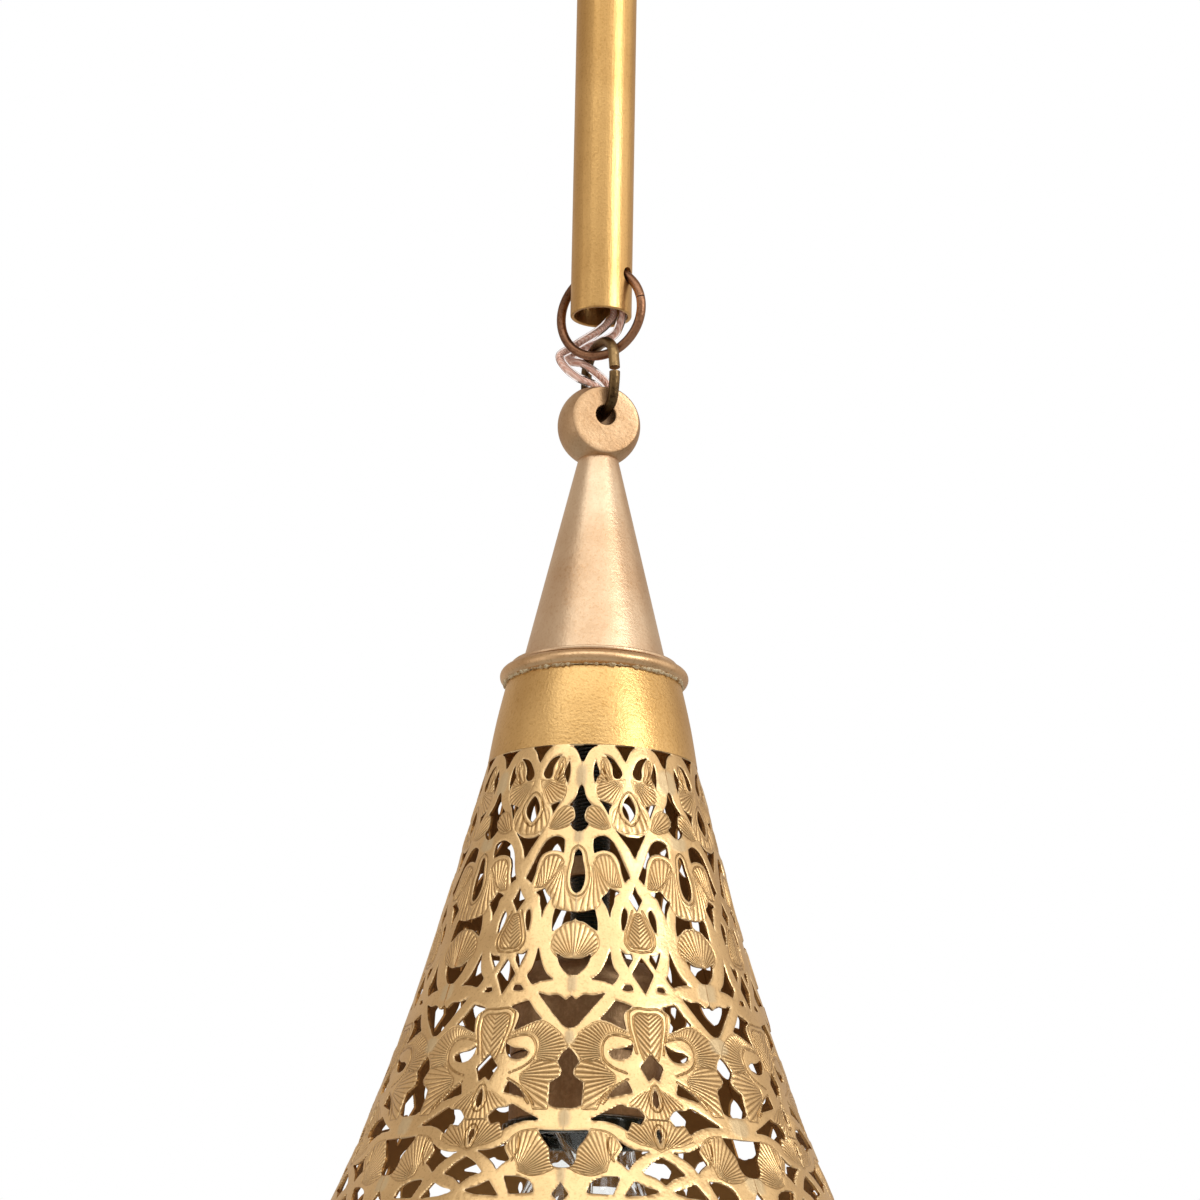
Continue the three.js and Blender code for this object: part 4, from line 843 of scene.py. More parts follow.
piece("spire_skin", [spire()], [champagne], ["spire_cone"], "shade_body")
bush_outline = softened([
    (BUSH_BORE_RADIUS, BUSH_BACK), (BUSH_NECK_RADIUS, BUSH_BACK), (BUSH_NECK_RADIUS, BUSH_SEAT),
    (BUSH_COLLAR_RADIUS, BUSH_SEAT), (BUSH_COLLAR_RADIUS, BUSH_FRONT), (BUSH_BORE_RADIUS, BUSH_FRONT)],
    [0.2, 0.2, 0, 0.3, 0.3, 0.4])
bush_points, bush_faces = turned(bush_outline, 48)
piece("flex_bush", [(at_bush(bush_points), bush_faces)], [white_finish], ["cord_bush"], "shade_body")

# Bead ring, neck plate and collar. A round brass wire ring is soldered on a plain brass collar, which widens
# a little towards the pierced part; pale solder has run out under the ring. A brass plate closes the neck
# under the spire and carries the rod.
BEAD_RADIUS = 22
BEAD_WIRE = 3.8
bead_foot, bead_top = heights("bead_ring")


def level_ring(radius, wire, height, steps=220, sides=28, swell=None):
    """A round wire lying level about the lamp's axis; swell changes its thickness along it."""
    angle = even_angles(steps)
    out = np.stack([np.cos(angle), np.sin(angle), np.zeros(steps)], -1)
    up = np.broadcast_to([0.0, 0, 1], out.shape)
    return swept(out * radius + (0, 0, height), out, up, circle(wire / 2, sides), swell, loop=True)


bead_brass = satin("bead_brass", "EEC99C", "B48A5C", 0.3, (1, 1, 1), 700, 0.55)
bead = level_ring(BEAD_RADIUS, BEAD_WIRE, (bead_foot + bead_top) / 2)
piece("bead_wire", [bead], [bead_brass], ["bead_ring"], "shade_body")
ROD_HOLE_RADIUS = 5.2
PLATE_RADIUS = 20.9
PLATE_TOP_RADIUS = 16.9
PLATE_STEP = -398.8
plate_foot, plate_top = heights("bridge_plate")
plate_outline = softened([
    (ROD_HOLE_RADIUS, plate_foot), (PLATE_RADIUS, plate_foot), (PLATE_RADIUS, PLATE_STEP),
    (PLATE_TOP_RADIUS, plate_top), (ROD_HOLE_RADIUS, plate_top)], [0.2, 0.2, 0.3, 0.3, 0.2])
piece("neck_plate", [turned(plate_outline, 160)], [bead_brass], ["bridge_plate"], "shade_body")


def frosted_solder():
    made = Finish("frosted_solder", metallic=0.85)
    grit = made.noise(made.place(), 900, 4, 0.7)
    colour = made.blend("B08A58", "E8D9B8", grit.rise(0.35, 0.6))
    return made.set(base_color=colour, roughness=0.42 + grit * 0.2, normal=made.bump(grit, 0.0004))


random = np.random.default_rng(7)


def ragged(steps, waves, low, high):
    """A value round a circle from a sum of sines with seeded turns, between low and high."""
    angle = even_angles(steps)
    total = sum(np.sin(k * angle + random.uniform(0, 2 * pi)) / len(waves) ** 0.5 for k in waves)
    return low + (high - low) * np.clip(0.5 + total / 2, 0, 1)


SOLDER_RADIUS = 22.3
SOLDER_WIRE = 1.7
SOLDER_DROP = 0.05
SOLDER_STEPS = 420
solder_swell = ragged(SOLDER_STEPS, (3, 5, 11, 23, 41, 67, 97), 0.35, 1.05)
neck_solder = level_ring(SOLDER_RADIUS, SOLDER_WIRE, bead_foot - SOLDER_DROP, SOLDER_STEPS, 12, solder_swell)
piece("neck_solder", [neck_solder], [frosted_solder()], body="shade_body")
COLLAR_TOP_RADIUS = 22.2
COLLAR_FOOT_RADIUS = 26.4
COLLAR_WALL = 1
COLLAR_SWELL = 0.3
COLLAR_LAP = 0.25
collar_foot, collar_top = heights("neck_collar")


def collar():
    """A cone wall that swells a little half way down and laps over the shade's top edge."""
    t = np.linspace(0, 1, 30)
    outside = np.stack([COLLAR_TOP_RADIUS + (COLLAR_FOOT_RADIUS - COLLAR_TOP_RADIUS) * t
                        + COLLAR_SWELL * np.sin(pi * t),
                        collar_top + (collar_foot - collar_top - COLLAR_LAP) * t], -1)
    return turned(np.concatenate([outside, outside[::-1] - (COLLAR_WALL, 0)]), 160)


collar_brass = satin("collar_brass", "EAC080", "BE8F4C", 0.27, (1, 1, 1), 1500, 0.4)
piece("collar_skin", [collar()], [collar_brass], ["neck_collar"], "shade_body")

# Pierced shade. Eight gores of 0.9 mm sheet brass, sawn and chased by hand with palmettes, wings, shells and
# ribbons, bent to a flared cone and soldered edge to edge. Half a gore is drawn and mirrored: across is 0 at
# the seam and 22.5 at the middle, in degrees, and down is in millimetres below the collar.
GORE_WIDTH = 45
SHADE_HEIGHT = 170
SHADE_NECK_RADIUS = 26.4
SHADE_SLOPE = 0.262
SHADE_FLARE = 24
SHEET = 0.9
GORE_TURN = 17.5
MIDDLE = GORE_WIDTH / 2
shade_top = heights("shade_gore_1")[1]
seam_openings = [
    [(0, .2), (8.2, .2), (5, .9), (3, 2), (1.5, 3.6), (.6, 4.5), (0, 4.6)],
    [(0, 10.9), (.8, 11.2), (2.2, 13.6), (3.6, 15), (5.6, 16.3), (3.6, 16.8), (2.6, 18), (2.3, 19.2),
     (3, 20.3), (4.5, 21), (2.8, 22.4), (.8, 23.2), (0, 23.1)],
    [(0, 44), (3, 43.9), (7.3, 43.2), (7.8, 46), (7.7, 48.8), (6, 48), (3.5, 46.6), (.8, 46.1), (0, 45.6)],
    [(0, 55.8), (3, 55.6), (5.8, 54.4), (4.8, 57), (3, 58.8), (1, 60), (0, 60)],
    [(0, 65.2), (1.5, 66.3), (4, 65), (7, 65.1), (10.6, 64.2), (7, 67.5), (4, 70.5), (1.5, 72.8),
     (0, 73.2)],
    [(0, 78), (1.6, 79.3), (2.9, 81.6), (1.6, 83.6), (1.8, 84.8), (4.4, 86.6), (4.2, 89.5), (4, 92),
     (1.8, 92.8), (0, 92.8)],
    [(0, 98.2), (6, 98), (4.6, 100.5), (3.2, 102.5), (2.8, 105.5), (1.8, 106.8), (0, 107.1)],
    [(0, 110.6), (1.8, 113.5), (0, 115.5)],
]
middle_openings = [
    [(22.5, .1), (16, .1), (18, .9), (20, 2.1), (21.6, 3.6), (22.5, 4.3)],
    [(22.5, 24.3), (20, 24.2), (18, 23.6), (16, 22.6), (18.5, 25.2), (20.5, 27.4), (22, 29.3),
     (22.5, 29.6)],
    [(22.5, 37), (21.5, 38.8), (20, 40.4), (21.4, 42), (22.5, 43.4)],
    [(22.5, 55.2), (19.1, 59.3), (22.5, 64.2)],
    [(22.5, 79.2), (19.2, 82.3), (20.4, 84.5), (21, 85.8), (22.5, 84.6)],
    [(22.5, 104), (20, 105.5), (17.7, 108), (20.5, 109), (22.5, 110.7)],
]
# Openings with a raised rim: the teardrop on the seam and three almonds on the middle line.
rimmed_openings = [
    [(0, 27.8), (1, 28.3), (1.8, 31), (2.6, 34), (2.4, 36.8), (1.2, 38.6), (0, 39.1)],
    [(22.5, 13.3), (21, 14.2), (19.3, 16.8), (20.2, 18.6), (22.5, 20.3)],
    [(22.5, 87.5), (21.6, 90), (22, 91.8), (22.5, 92.3)],
    [(22.5, 97.1), (21.8, 98.2), (22.3, 100.6), (22.5, 101.3)],
]
side_openings = [
    [(6.8, 4.1), (5.9, 5.6), (5.6, 8), (6.4, 10.8), (7.6, 9.2), (9, 7.5), (8, 5.8)],
    [(10.6, 2.8), (13, 3), (16, 3.8), (18.4, 5.6), (19.8, 7.8), (18.4, 8.9), (16.4, 9), (15.4, 8.2),
     (15.2, 6.2), (14, 4.7), (12.4, 3.6)],
    [(8.2, 14.7), (10.5, 15.2), (12.5, 15.6), (14.3, 16), (13, 17.4), (12.9, 18.8), (11.8, 17.7),
     (9.8, 15.9)],
    [(6.2, 28.7), (6, 27), (6.2, 25.2), (8, 24.5), (10.5, 24.3), (13.5, 25.3), (15.8, 27.6), (18, 31),
     (20.6, 34.8), (19.5, 35.3), (18.2, 36.3), (16.8, 33.6), (16, 31), (14.5, 29), (12.5, 28.2),
     (9.5, 28), (7.4, 28.3)],
    [(9.5, 40.3), (11.5, 39), (12.7, 37.7), (14.5, 38.2), (16.3, 38.7), (14.5, 39.6), (13.8, 41.5),
     (12.6, 43.5), (12.1, 45.4), (11.3, 42.8), (10.2, 41.3)],
    [(17.4, 42.6), (18.5, 43.7), (18.3, 46), (17, 48.4), (16.2, 48.5), (16, 45.7), (16.7, 43.6)],
    [(12, 53), (12.6, 55.5), (13.6, 58.3), (14.9, 59.8), (13.8, 61.2), (12.7, 62.1), (10, 61.3),
     (6.2, 61), (8.6, 59.5), (10.3, 57.2), (11.5, 54.6)],
    [(15.6, 53.3), (17.5, 54.3), (19.4, 54.2), (19.7, 55.6), (18.6, 57), (18.2, 57.8), (17, 56)],
    [(15.4, 63.3), (16.5, 62.2), (18.4, 62.2), (18.8, 63.3), (17, 63.5)],
    [(7.9, 71), (10.5, 68.8), (13, 66.2), (15.5, 66.7), (18.5, 67.6), (16.5, 68.4), (15.4, 69.4),
     (15.6, 71.5), (16.3, 73.6), (13, 72.4), (10.5, 71.5)],
    [(10.9, 79), (12.5, 78.2), (15.5, 77.8), (18, 76.6), (17.4, 78.8), (16, 80.3), (13.7, 80.7),
     (11.6, 80)],
    [(10.3, 90.2), (12.5, 87.8), (15.5, 85.8), (16.6, 88.6), (13.5, 89.4)],
    [(5.2, 95.8), (9, 93.9), (12, 92.3), (13.5, 91.6), (15, 92.3), (17.5, 92.6), (19.4, 94.5),
     (18.2, 96.3), (15.8, 95.9), (14.8, 98.2), (13, 97), (9.5, 95.9)],
    [(12, 100), (15, 102), (18, 102.7), (20.3, 102.6), (17.5, 104.2), (15.5, 106), (14.6, 107.5),
     (13.2, 106), (11.8, 105), (12.9, 103.2), (13.5, 102)],
    [(5.5, 113), (6.5, 110.6), (9, 109.3), (12.7, 109), (11.9, 111), (10.9, 113.3)],
    [(15.8, 109.9), (18.5, 111.3), (21.5, 112), (19, 113), (13.2, 113.7)],
]
# Leaves: an outline, the root from which the ribs fan out, the ribs that a full turn would have, and how
# deep a line runs round the leaf, from 0 to 1.
leaves = [
    ([(20.8, 9.2), (18, 9.3), (14.8, 9.6), (11.5, 10.4), (8.4, 10.4), (7.2, 11.6), (7.4, 13.6),
      (8.6, 14.8), (11, 15.4), (14.2, 16), (16, 15), (18.2, 13), (20, 11)], (20.8, 9), 46, 0.3),
    ([(19.4, 12.6), (18.4, 14.2), (17, 16), (14.6, 17.8), (14.2, 19.6), (15, 21.6), (17.2, 22.8),
      (20, 23.3), (22.5, 23.2), (22.5, 21), (20, 19.8), (18.4, 17), (19.2, 14.6)], (20.8, 10.4), 46, 0.3),
    ([(8, 10.2), (7.8, 8.8), (9.2, 7), (8.9, 5.6), (10, 3.6), (11.2, 3.6), (12.6, 4.8), (13.4, 7),
      (14.4, 9), (12, 9.8)], (17, 12.5), 40, 0.7),
    ([(13.4, 21.8), (10.5, 18.3), (7.6, 16.8), (5.2, 16.4), (3.6, 17), (2.7, 18.4), (2.8, 20),
      (4.4, 21.2), (7, 22), (10.5, 22.4)], (15, 23.5), 50, 0.6),
    ([(5.8, 31.3), (7.2, 29.9), (9.8, 29.2), (12.4, 29.5), (14, 30.9), (15.2, 33), (16, 35), (16.6, 37.2),
      (14.6, 37.4), (13.3, 37.2)], (13, 40.5), 62, 0.8),
    ([(4.9, 32.4), (6.2, 32.3), (12.9, 37.5), (12.4, 38.4), (11.2, 38.8), (9.9, 40), (9, 41.8),
      (7.2, 43.2), (3.8, 43.9), (0, 44.1), (0, 41.2), (2.6, 40), (4.2, 37.8), (4.6, 35)], (5.4, 30.4),
      50, 0.3),
    ([(0, 46.4), (3.2, 46.8), (5.8, 48.4), (7.5, 50.4), (7.9, 52.6), (6.6, 54.4), (5.4, 55.2), (3, 56),
      (0, 56.2)], (0, 56.8), 46, 0.5),
    ([(22.5, 43.9), (21.4, 44.2), (20.2, 46), (19.2, 48), (18.4, 50.2), (18.9, 51.8), (20.2, 52.6),
      (22.5, 52.7)], (6, 38), 128, 1),
    ([(22.5, 69.2), (19.6, 69.1), (18.1, 70), (18.2, 72.4), (19, 75.4), (19.8, 78.4), (20.6, 80.6),
      (21.6, 80.2), (22.5, 78.8)], (4, 58), 150, 1),
    ([(.4, 77.6), (2.2, 75), (4.6, 73), (7.4, 71.6), (10.4, 71.8), (13, 72.8), (16.2, 73.8), (17.2, 74.9),
      (14, 74.2), (10.8, 74.2), (8.7, 75.8), (8.2, 78), (8.7, 79.8), (8.4, 81.2), (6, 81.4), (3.2, 80.7),
      (1.9, 79.2)], (12.8, 79.2), 58, 0.4),
    ([(9.4, 81.2), (10.6, 83), (12.6, 84.8), (12.4, 86.4), (10.4, 88.6), (8.6, 91), (7.6, 93), (4.2, 93),
      (4.2, 90), (4.6, 86.6), (2, 84.8), (1.8, 83.4), (3.2, 81.2), (6, 80.9)], (16.4, 84.6), 50, 0.5),
    ([(22.5, 86), (20.8, 88), (19, 88.6), (17.2, 89.8), (15.6, 91), (15.2, 92.4), (17.6, 92.8),
      (19.6, 94.4), (20.6, 95.6), (22.5, 95.8)], (22.5, 85.4), 52, 0.3),
    ([(22.5, 102.6), (20.4, 101.6), (17.6, 101), (14.6, 99.6), (14.4, 98.4), (15.8, 96), (18.2, 96.4),
      (19.6, 94.8), (22.5, 94.8)], (22.5, 103.4), 54, 0.4),
    ([(6.2, 97.9), (9.6, 98.4), (11.8, 99.8), (12.6, 101.6), (11.8, 103.2), (10.4, 105.2), (9.6, 107.8),
      (6.6, 108.9), (3, 108), (1.6, 107), (2.6, 105.4), (3.1, 102.4), (4.6, 100.3)], (10.4, 109), 56, 0.6),
]
# Lines engraved by themselves: at a bud's foot, round bud and shield, round the palmette's eye, along two
# stems and on the fan leaf.
engraved = [
    [(10.5, 5.2), (11, 7), (11.8, 8.8), (12.6, 9.8)],
    [(20.6, 43.2), (19, 46), (17.6, 49), (17.4, 51.4), (19, 53.3), (22.5, 53.7)],
    [(22.5, 68), (18.6, 67.9), (16.7, 69), (16.8, 72), (17.8, 75.4), (18.7, 79)],
    [(17.8, 75.6), (14, 74.8), (10.9, 75), (9.3, 76.6), (9, 78.4), (9.6, 80.6), (12, 82.6), (15.6, 84)],
    [(15.8, 85.4), (12.6, 87.2), (9.6, 89.6), (7.8, 92)],
    [(14.4, 86.9), (11.6, 88.9), (9.2, 91.6)],
    [(10.6, 98.8), (10, 101), (10.4, 103.4), (11.4, 105.4)],
]
REPEAT_FROM = 64
REPEAT_UNTIL = 111
REPEAT_TO = 116
REPEAT_SCALE = 1.07


def again(points):
    """The same motif lower down, where the shade is wider."""
    return [(across, REPEAT_TO + (down - REPEAT_FROM) * REPEAT_SCALE) for across, down in points]


def is_repeated(points):
    return all(REPEAT_FROM <= down <= REPEAT_UNTIL for _, down in points)


def shade_radius(drop):
    return SHADE_NECK_RADIUS + SHADE_SLOPE * drop + SHADE_FLARE * (drop / SHADE_HEIGHT) ** 3


def across_mirror(points, fold):
    """An outline that starts and ends on a fold line, completed by its mirror image."""
    points = np.array(points, float)
    return np.concatenate([points, (points * (-1, 1) + (2 * fold, 0))[::-1][1:-1]])


def on_the_sheet(points, level):
    """Degrees across and millimetres down, both turned to millimetres on the sheet near one level."""
    slope = SHADE_SLOPE + 3 * SHADE_FLARE * level ** 2 / SHADE_HEIGHT ** 3
    return np.asarray(points, float) * (radians(1) * shade_radius(level), np.hypot(1, slope))


def drawn(corners, bend=50, steps=5):
    """A smooth closed line through the corners: cubics whose end slopes halve the turn at a corner, except
    that a corner that turns by more than the bend stays sharp."""
    ahead = np.roll(corners, -1, 0) - corners
    length = np.linalg.norm(ahead, axis=1, keepdims=True)
    heading = ahead / length
    last = np.roll(heading, 1, 0)
    sharp = (heading * last).sum(1) < cos(radians(bend))
    shared = heading + last
    shared /= np.maximum(np.linalg.norm(shared, axis=1, keepdims=True), 1e-9)
    leave = np.where(sharp[:, None], heading, shared)
    sharp_next, shared_next = np.roll(sharp, -1), np.roll(shared, -1, 0)
    arrive = np.where(sharp_next[:, None], heading, shared_next)
    t = np.arange(steps)[None, :, None] / steps
    leave, arrive, length = leave[:, None], arrive[:, None], length[:, None]
    here, there = corners[:, None], np.roll(corners, -1, 0)[:, None]
    return cubic(here, there, length * leave, length * arrive, t).reshape(-1, 2)


def outside_of(outline, points):
    """The distance from each point to a closed outline, below 0 inside it: the least distance to its edges,
    signed by how many edges a line to the right crosses."""
    a, b = outline, np.roll(outline, -1, 0)
    x, y = points[:, :1], points[:, 1:]
    run = b - a
    share = ((x - a[:, 0]) * run[:, 0] + (y - a[:, 1]) * run[:, 1]) / np.maximum((run ** 2).sum(1), 1e-12)
    share = np.clip(share, 0, 1)
    least = np.hypot(x - a[:, 0] - share * run[:, 0], y - a[:, 1] - share * run[:, 1]).min(1)
    spans = (a[:, 1] > y) != (b[:, 1] > y)
    with np.errstate(divide="ignore", invalid="ignore"):
        crossing = a[:, 0] + (y - a[:, 1]) * run[:, 0] / run[:, 1]
    inside = (spans & (x < crossing)).sum(1) % 2 == 1
    return np.where(inside, -least, least)


COLUMNS = 112
ROW_STEPS = (0.33, 0.68)
FAR = 3.0
growth = np.log(ROW_STEPS[1] / ROW_STEPS[0])
row_count = int(SHADE_HEIGHT / (ROW_STEPS[1] - ROW_STEPS[0]) * growth)
drops = SHADE_HEIGHT * (np.exp(growth * np.linspace(0, 1, row_count)) - 1) / (np.exp(growth) - 1)
half_across = np.linspace(0, MIDDLE, COLUMNS // 2 + 1)
half_grid = np.stack(np.meshgrid(half_across, drops), -1)


def distances(outline):
    """The rows of the half grid near an outline, and the distance of their corners to it."""
    outline = np.array(outline, float)
    level = outline[:, 1].mean()
    first, last = np.searchsorted(drops, [outline[:, 1].min() - FAR, outline[:, 1].max() + FAR])
    near = half_grid[first:last]
    line = drawn(on_the_sheet(outline, level))
    distance = outside_of(line, on_the_sheet(near.reshape(-1, 2), level)).reshape(near.shape[:2])
    return first, last, distance, level


def keep_nearest(field, outline):
    """Lowers a field of distances to the distance to an outline, where that is nearer."""
    first, last, distance, _ = distances(outline)
    field[first:last] = np.minimum(field[first:last], distance)


def repeated(outlines):
    return outlines + [again(points) for points in outlines if is_repeated(points)]


metal_half = np.full(half_grid.shape[:2], FAR)
rim_half = np.full(half_grid.shape[:2], FAR)
for group, fold in ((seam_openings, 0), (middle_openings, MIDDLE)):
    for points in repeated(group):
        keep_nearest(metal_half, across_mirror(points, fold))
for points in repeated(side_openings):
    keep_nearest(metal_half, points)
for points in repeated(rimmed_openings):
    keep_nearest(rim_half, across_mirror(points, points[0][0]))
metal_half = np.minimum(metal_half, rim_half)
carved_half = np.full(half_grid.shape[:2], FAR)
for points in repeated(engraved):
    keep_nearest(carved_half, points + points[-2:0:-1])
leaf_half = np.full(half_grid.shape[:2], -FAR)
rib_half, ribbed_half, line_half = np.zeros((3, *half_grid.shape[:2]))
for points, root, ribs, line in leaves + [(again(points), again([root])[0], ribs * REPEAT_SCALE, line)
                                          for points, root, ribs, line in leaves if is_repeated(points)]:
    folded = points[0][0] == points[-1][0] and points[0][0] in (0, MIDDLE)
    first, last, distance, level = distances(across_mirror(points, points[0][0]) if folded else points)
    off = on_the_sheet(half_grid[first:last], level) - on_the_sheet([root], level)[0]
    centre = on_the_sheet(np.mean(points, axis=0), level) - on_the_sheet([root], level)[0]
    bearing = np.angle((off[..., 0] + 1j * off[..., 1]) / complex(*centre))
    inside = -distance
    ribbed = np.clip(inside / 0.3, 0, 1) * np.clip((np.hypot(*off.transpose(2, 0, 1)) - 1.2) / 1.5, 0, 1)
    better = inside > leaf_half[first:last]
    for field, value in ((leaf_half, inside), (rib_half, bearing * ribs), (ribbed_half, ribbed),
                         (line_half, np.full(inside.shape, float(line)))):
        field[first:last][better] = value[better]


def whole_gore(half):
    """The half grid and its mirror image side by side."""
    return np.concatenate([half, half[:, -2::-1]], axis=1)


metal, rim, carved, leaf, rib, ribbed, line = (whole_gore(half) for half in (
    metal_half, rim_half, carved_half, leaf_half, rib_half, ribbed_half, line_half))
across = np.linspace(0, GORE_WIDTH, COLUMNS + 1)
seam_on_left = across * radians(1) * shade_radius(drops)[:, None]
seam_on_right = seam_on_left[:, ::-1]
ridges = abs(np.sin(rib / 2))
# How much solder shows at each seam, from the one left of the first gore round to the last, and where the
# ribbons meet across it: the middle of each soldered stretch and half its height.
SEAM_SOLDER = (0.4, 1, 0.6, 0.85, 0.45, 0.9, 0.5, 0.8)
solder_stretches = [(8.6, 3.4), (24.2, 2.2), (62, 2.4), (75.4, 2), (95.2, 2.4), (109, 2.2)]
solder_stretches += [(again([(0, middle)])[0][1], half) for middle, half in solder_stretches[3:]]
soldered = np.max([np.exp(-((drops - middle) / half) ** 4) for middle, half in solder_stretches], axis=0)
soldered = soldered[:, None]


def gentle(shape, waves, seed):
    """A smooth field between about -1 and 1: a sum of sines across and down with seeded turns."""
    source = np.random.default_rng(seed)
    v, u = np.mgrid[0:1:shape[0] * 1j, 0:1:shape[1] * 1j]
    total = np.zeros(shape)
    for _ in range(waves):
        wave = source.uniform(0.5, 2.5) * u + source.uniform(1, 9) * v
        total += np.sin(2 * pi * wave + source.uniform(0, 6))
    return total / waves ** 0.5


# In millimetres: how high leaves are domed, how deep the grooves between ribs, the lines round leaves and
# the engraved lines are, and how much edges are worn, seams thickened, the sheet dented and openings shifted.
LEAF_RISE = 0.12
RIB_DEPTH = 0.09
LINE_DEPTH = 0.1
ENGRAVED_DEPTH = 0.08
EDGE_WEAR = 0.12
SEAM_RISE = 0.1
DENT = 0.12
WANDER = 0.22


def gore(number):
    """Across and down give the outer skin: the flared cone plus the relief, which domes each leaf, sinks a
    line round it and the grooves between its ribs, rounds the sawn edges, thickens the soldered seams and
    dents the sheet a little. The grooves also notch the edges of the openings."""
    seam = np.minimum(seam_on_left, seam_on_right)
    dents = DENT * gentle(metal.shape, 7, number)
    relief = (LEAF_RISE * np.clip(leaf / 1.2, 0, 1) - LINE_DEPTH * line * np.exp(-(leaf / 0.3) ** 2)
              - EDGE_WEAR * np.exp(-metal / 0.18) - RIB_DEPTH * ribbed * (1 - ridges)
              - ENGRAVED_DEPTH * np.exp(-(carved / 0.3) ** 2) + SEAM_RISE * np.exp(-(seam / 0.9) ** 2)
              + dents)
    turn = radians(GORE_TURN + (number - 1) * GORE_WIDTH)
    away = np.clip(seam / 4, 0, 1)
    wander = WANDER * gentle(metal.shape, 9, 50 + number) * away / shade_radius(drops)[:, None]
    angle = turn + radians(1) * (across - MIDDLE)[None, :] + wander
    skins = []
    for lift in (relief, dents - SHEET):
        radius = shade_radius(drops)[:, None] + lift
        skins.append(np.stack([radius * np.sin(angle), -radius * np.cos(angle),
                               np.broadcast_to(shade_top - drops[:, None], radius.shape)], -1))
    cut = metal + 0.09 * gentle(metal.shape, 9, 90 + number) + 0.2 * ribbed * (ridges - 0.6)
    solder = 0.55 * np.clip(1 - seam / 0.5, 0, 1)
    for much, off in ((SEAM_SOLDER[number - 1], seam_on_left), (SEAM_SOLDER[number % 8], seam_on_right)):
        reach = np.clip(1.3 - off / (0.6 + 2.6 * much), 0, 1)
        solder = np.maximum(solder, soldered * reach * (0.5 + 0.5 * much))
    extras = {"edge": metal, "rim": rim, "carved": carved, "leaf": leaf, "rib": rib, "ribbed": ribbed,
              "line": line, "solder": solder}
    return pierced(*skins, cut, extras=extras)


def chased_brass():
    """Ribs come from the sine of half the rib angle without its sign, which leaves a sharp groove between
    two round ridges; lines lie where a leaf's edge or a rim is near."""
    made = Finish("chased_brass", metallic=1)
    edge, rim_near, carved_near, leaf_in, rib_turn, ribs_on, line_on, tinned = (
        made.add("ShaderNodeAttribute", {"attribute_name": name}, out="Fac")
        for name in ("edge", "rim", "carved", "leaf", "rib", "ribbed", "line", "solder"))
    here = made.place()
    cloud = made.noise(here, 45, 5, 0.6)
    dents = made.noise(here, 230, 3, 0.6)
    fleck = made.noise(here, 1700, 2)
    scratch = made.noise(made.place((1, 1, 0.25)), 1300, 3, 0.6)
    groove = (1 - (rib_turn * 0.5).sine().size()) * ribs_on
    cut_line = leaf_in.size().rise(0.34, 0.06) * line_on
    rim_line = (rim_near - 0.95).size().rise(0.32, 0.06)
    lines = cut_line.larger(rim_line).larger(carved_near.rise(0.4, 0.12))
    grit = made.noise(here, 900, 4, 0.7)
    solder = (tinned + (made.noise(here, 150, 5, 0.7) - 0.5) * 0.8).rise(0.2, 0.75)
    # A painted highlight: the colour turns paler towards the sawn edges of the openings.
    painted_edge_highlight = edge.rise(0.4, 0.05)
    # deep is painted shade in the grooves between ribs; the colour also darkens along the lines.
    deep = groove.rise(0.35, 1.0)
    shade = cloud.rise(0.35, 0.7) * 0.24 + fleck.rise(0.5, 0.72) * 0.22 + lines * 0.55 + deep * 0.55
    colour = made.blend("F6D199", "9A6E36", shade)
    colour = made.blend(colour, "DCCAA6", solder * 0.7)
    colour = made.blend(colour, "F8E2B8", painted_edge_highlight * 0.4)
    height = ((1 - groove) * 0.6 - lines * 0.7 + dents * 0.45 + scratch * 0.12 + fleck * 0.09
              + solder * grit * 0.5)
    rough = 0.27 + cloud * 0.08 + scratch * 0.08 + solder * 0.24
    return made.set(base_color=colour, roughness=rough, normal=made.bump(height, 0.00032))


# The inner skin's dark brown is partly oxidised brass and partly painted shade for the shadowed inside.
inside_oxide_and_painted_shade = mottled("inside_oxide_and_painted_shade", "8A6034", "B98A50", (70, 5, 0.65), 0.42, 0.2, 0.0002, metallic=0.85)
sawn_edge = mottled("sawn_edge", "9A6A3C", "C99A5C", (1200, 3), 0.38, 0.1, 0.0001, (1, 1, 3), metallic=1)
gore_finishes = [chased_brass(), inside_oxide_and_painted_shade, sawn_edge]
for number in range(1, 9):
    points, triangles, skin, values = gore(number)
    made = piece(f"gore_{number}", [(points, triangles, skin)], gore_finishes, [f"shade_gore_{number}"],
                 "shade_body")
    for name, carried in values.items():
        made.data.attributes.new(name, "FLOAT", "POINT").data.foreach_set("value", carried.astype(np.float32))

# Rim. A round brass wire, 4 mm thick, bent to a ring as wide as the shade's foot and soldered under it; it
# stiffens the thin sheet where it is widest.
RIM_WIRE = 4
RIM_STEPS = 360
rim_foot, rim_top = heights("shade_rim")
rim_swell = np.full(RIM_STEPS, (rim_top - rim_foot) / RIM_WIRE)
rim_radius = shade_radius(SHADE_HEIGHT) - SHEET / 2
rim_ring = level_ring(rim_radius, RIM_WIRE, (rim_foot + rim_top) / 2, RIM_STEPS, 20, rim_swell)
piece("rim_wire", [rim_ring], [bead_brass], ["shade_rim"], "shade_body")

# Threaded rod. A hollow M10 rod with a fine thread, lacquered glossy black, that carries the lampholder; a
# round check nut of brown copper is run up it.
ROD_RADIUS = 4.9
ROD_BORE_RADIUS = 3.6
THREAD_PITCH = 1.0
THREAD_DEPTH = 0.4


def walled(outer, inner, height, sides):
    """A closed wall between two faces carried round the lamp's axis, each given by its radii."""
    grid = np.concatenate([spun(outer, height, sides), spun(inner, height, sides)[::-1]])
    return closed(grid, cells(*grid.shape[:2], ring=True, loop=True))


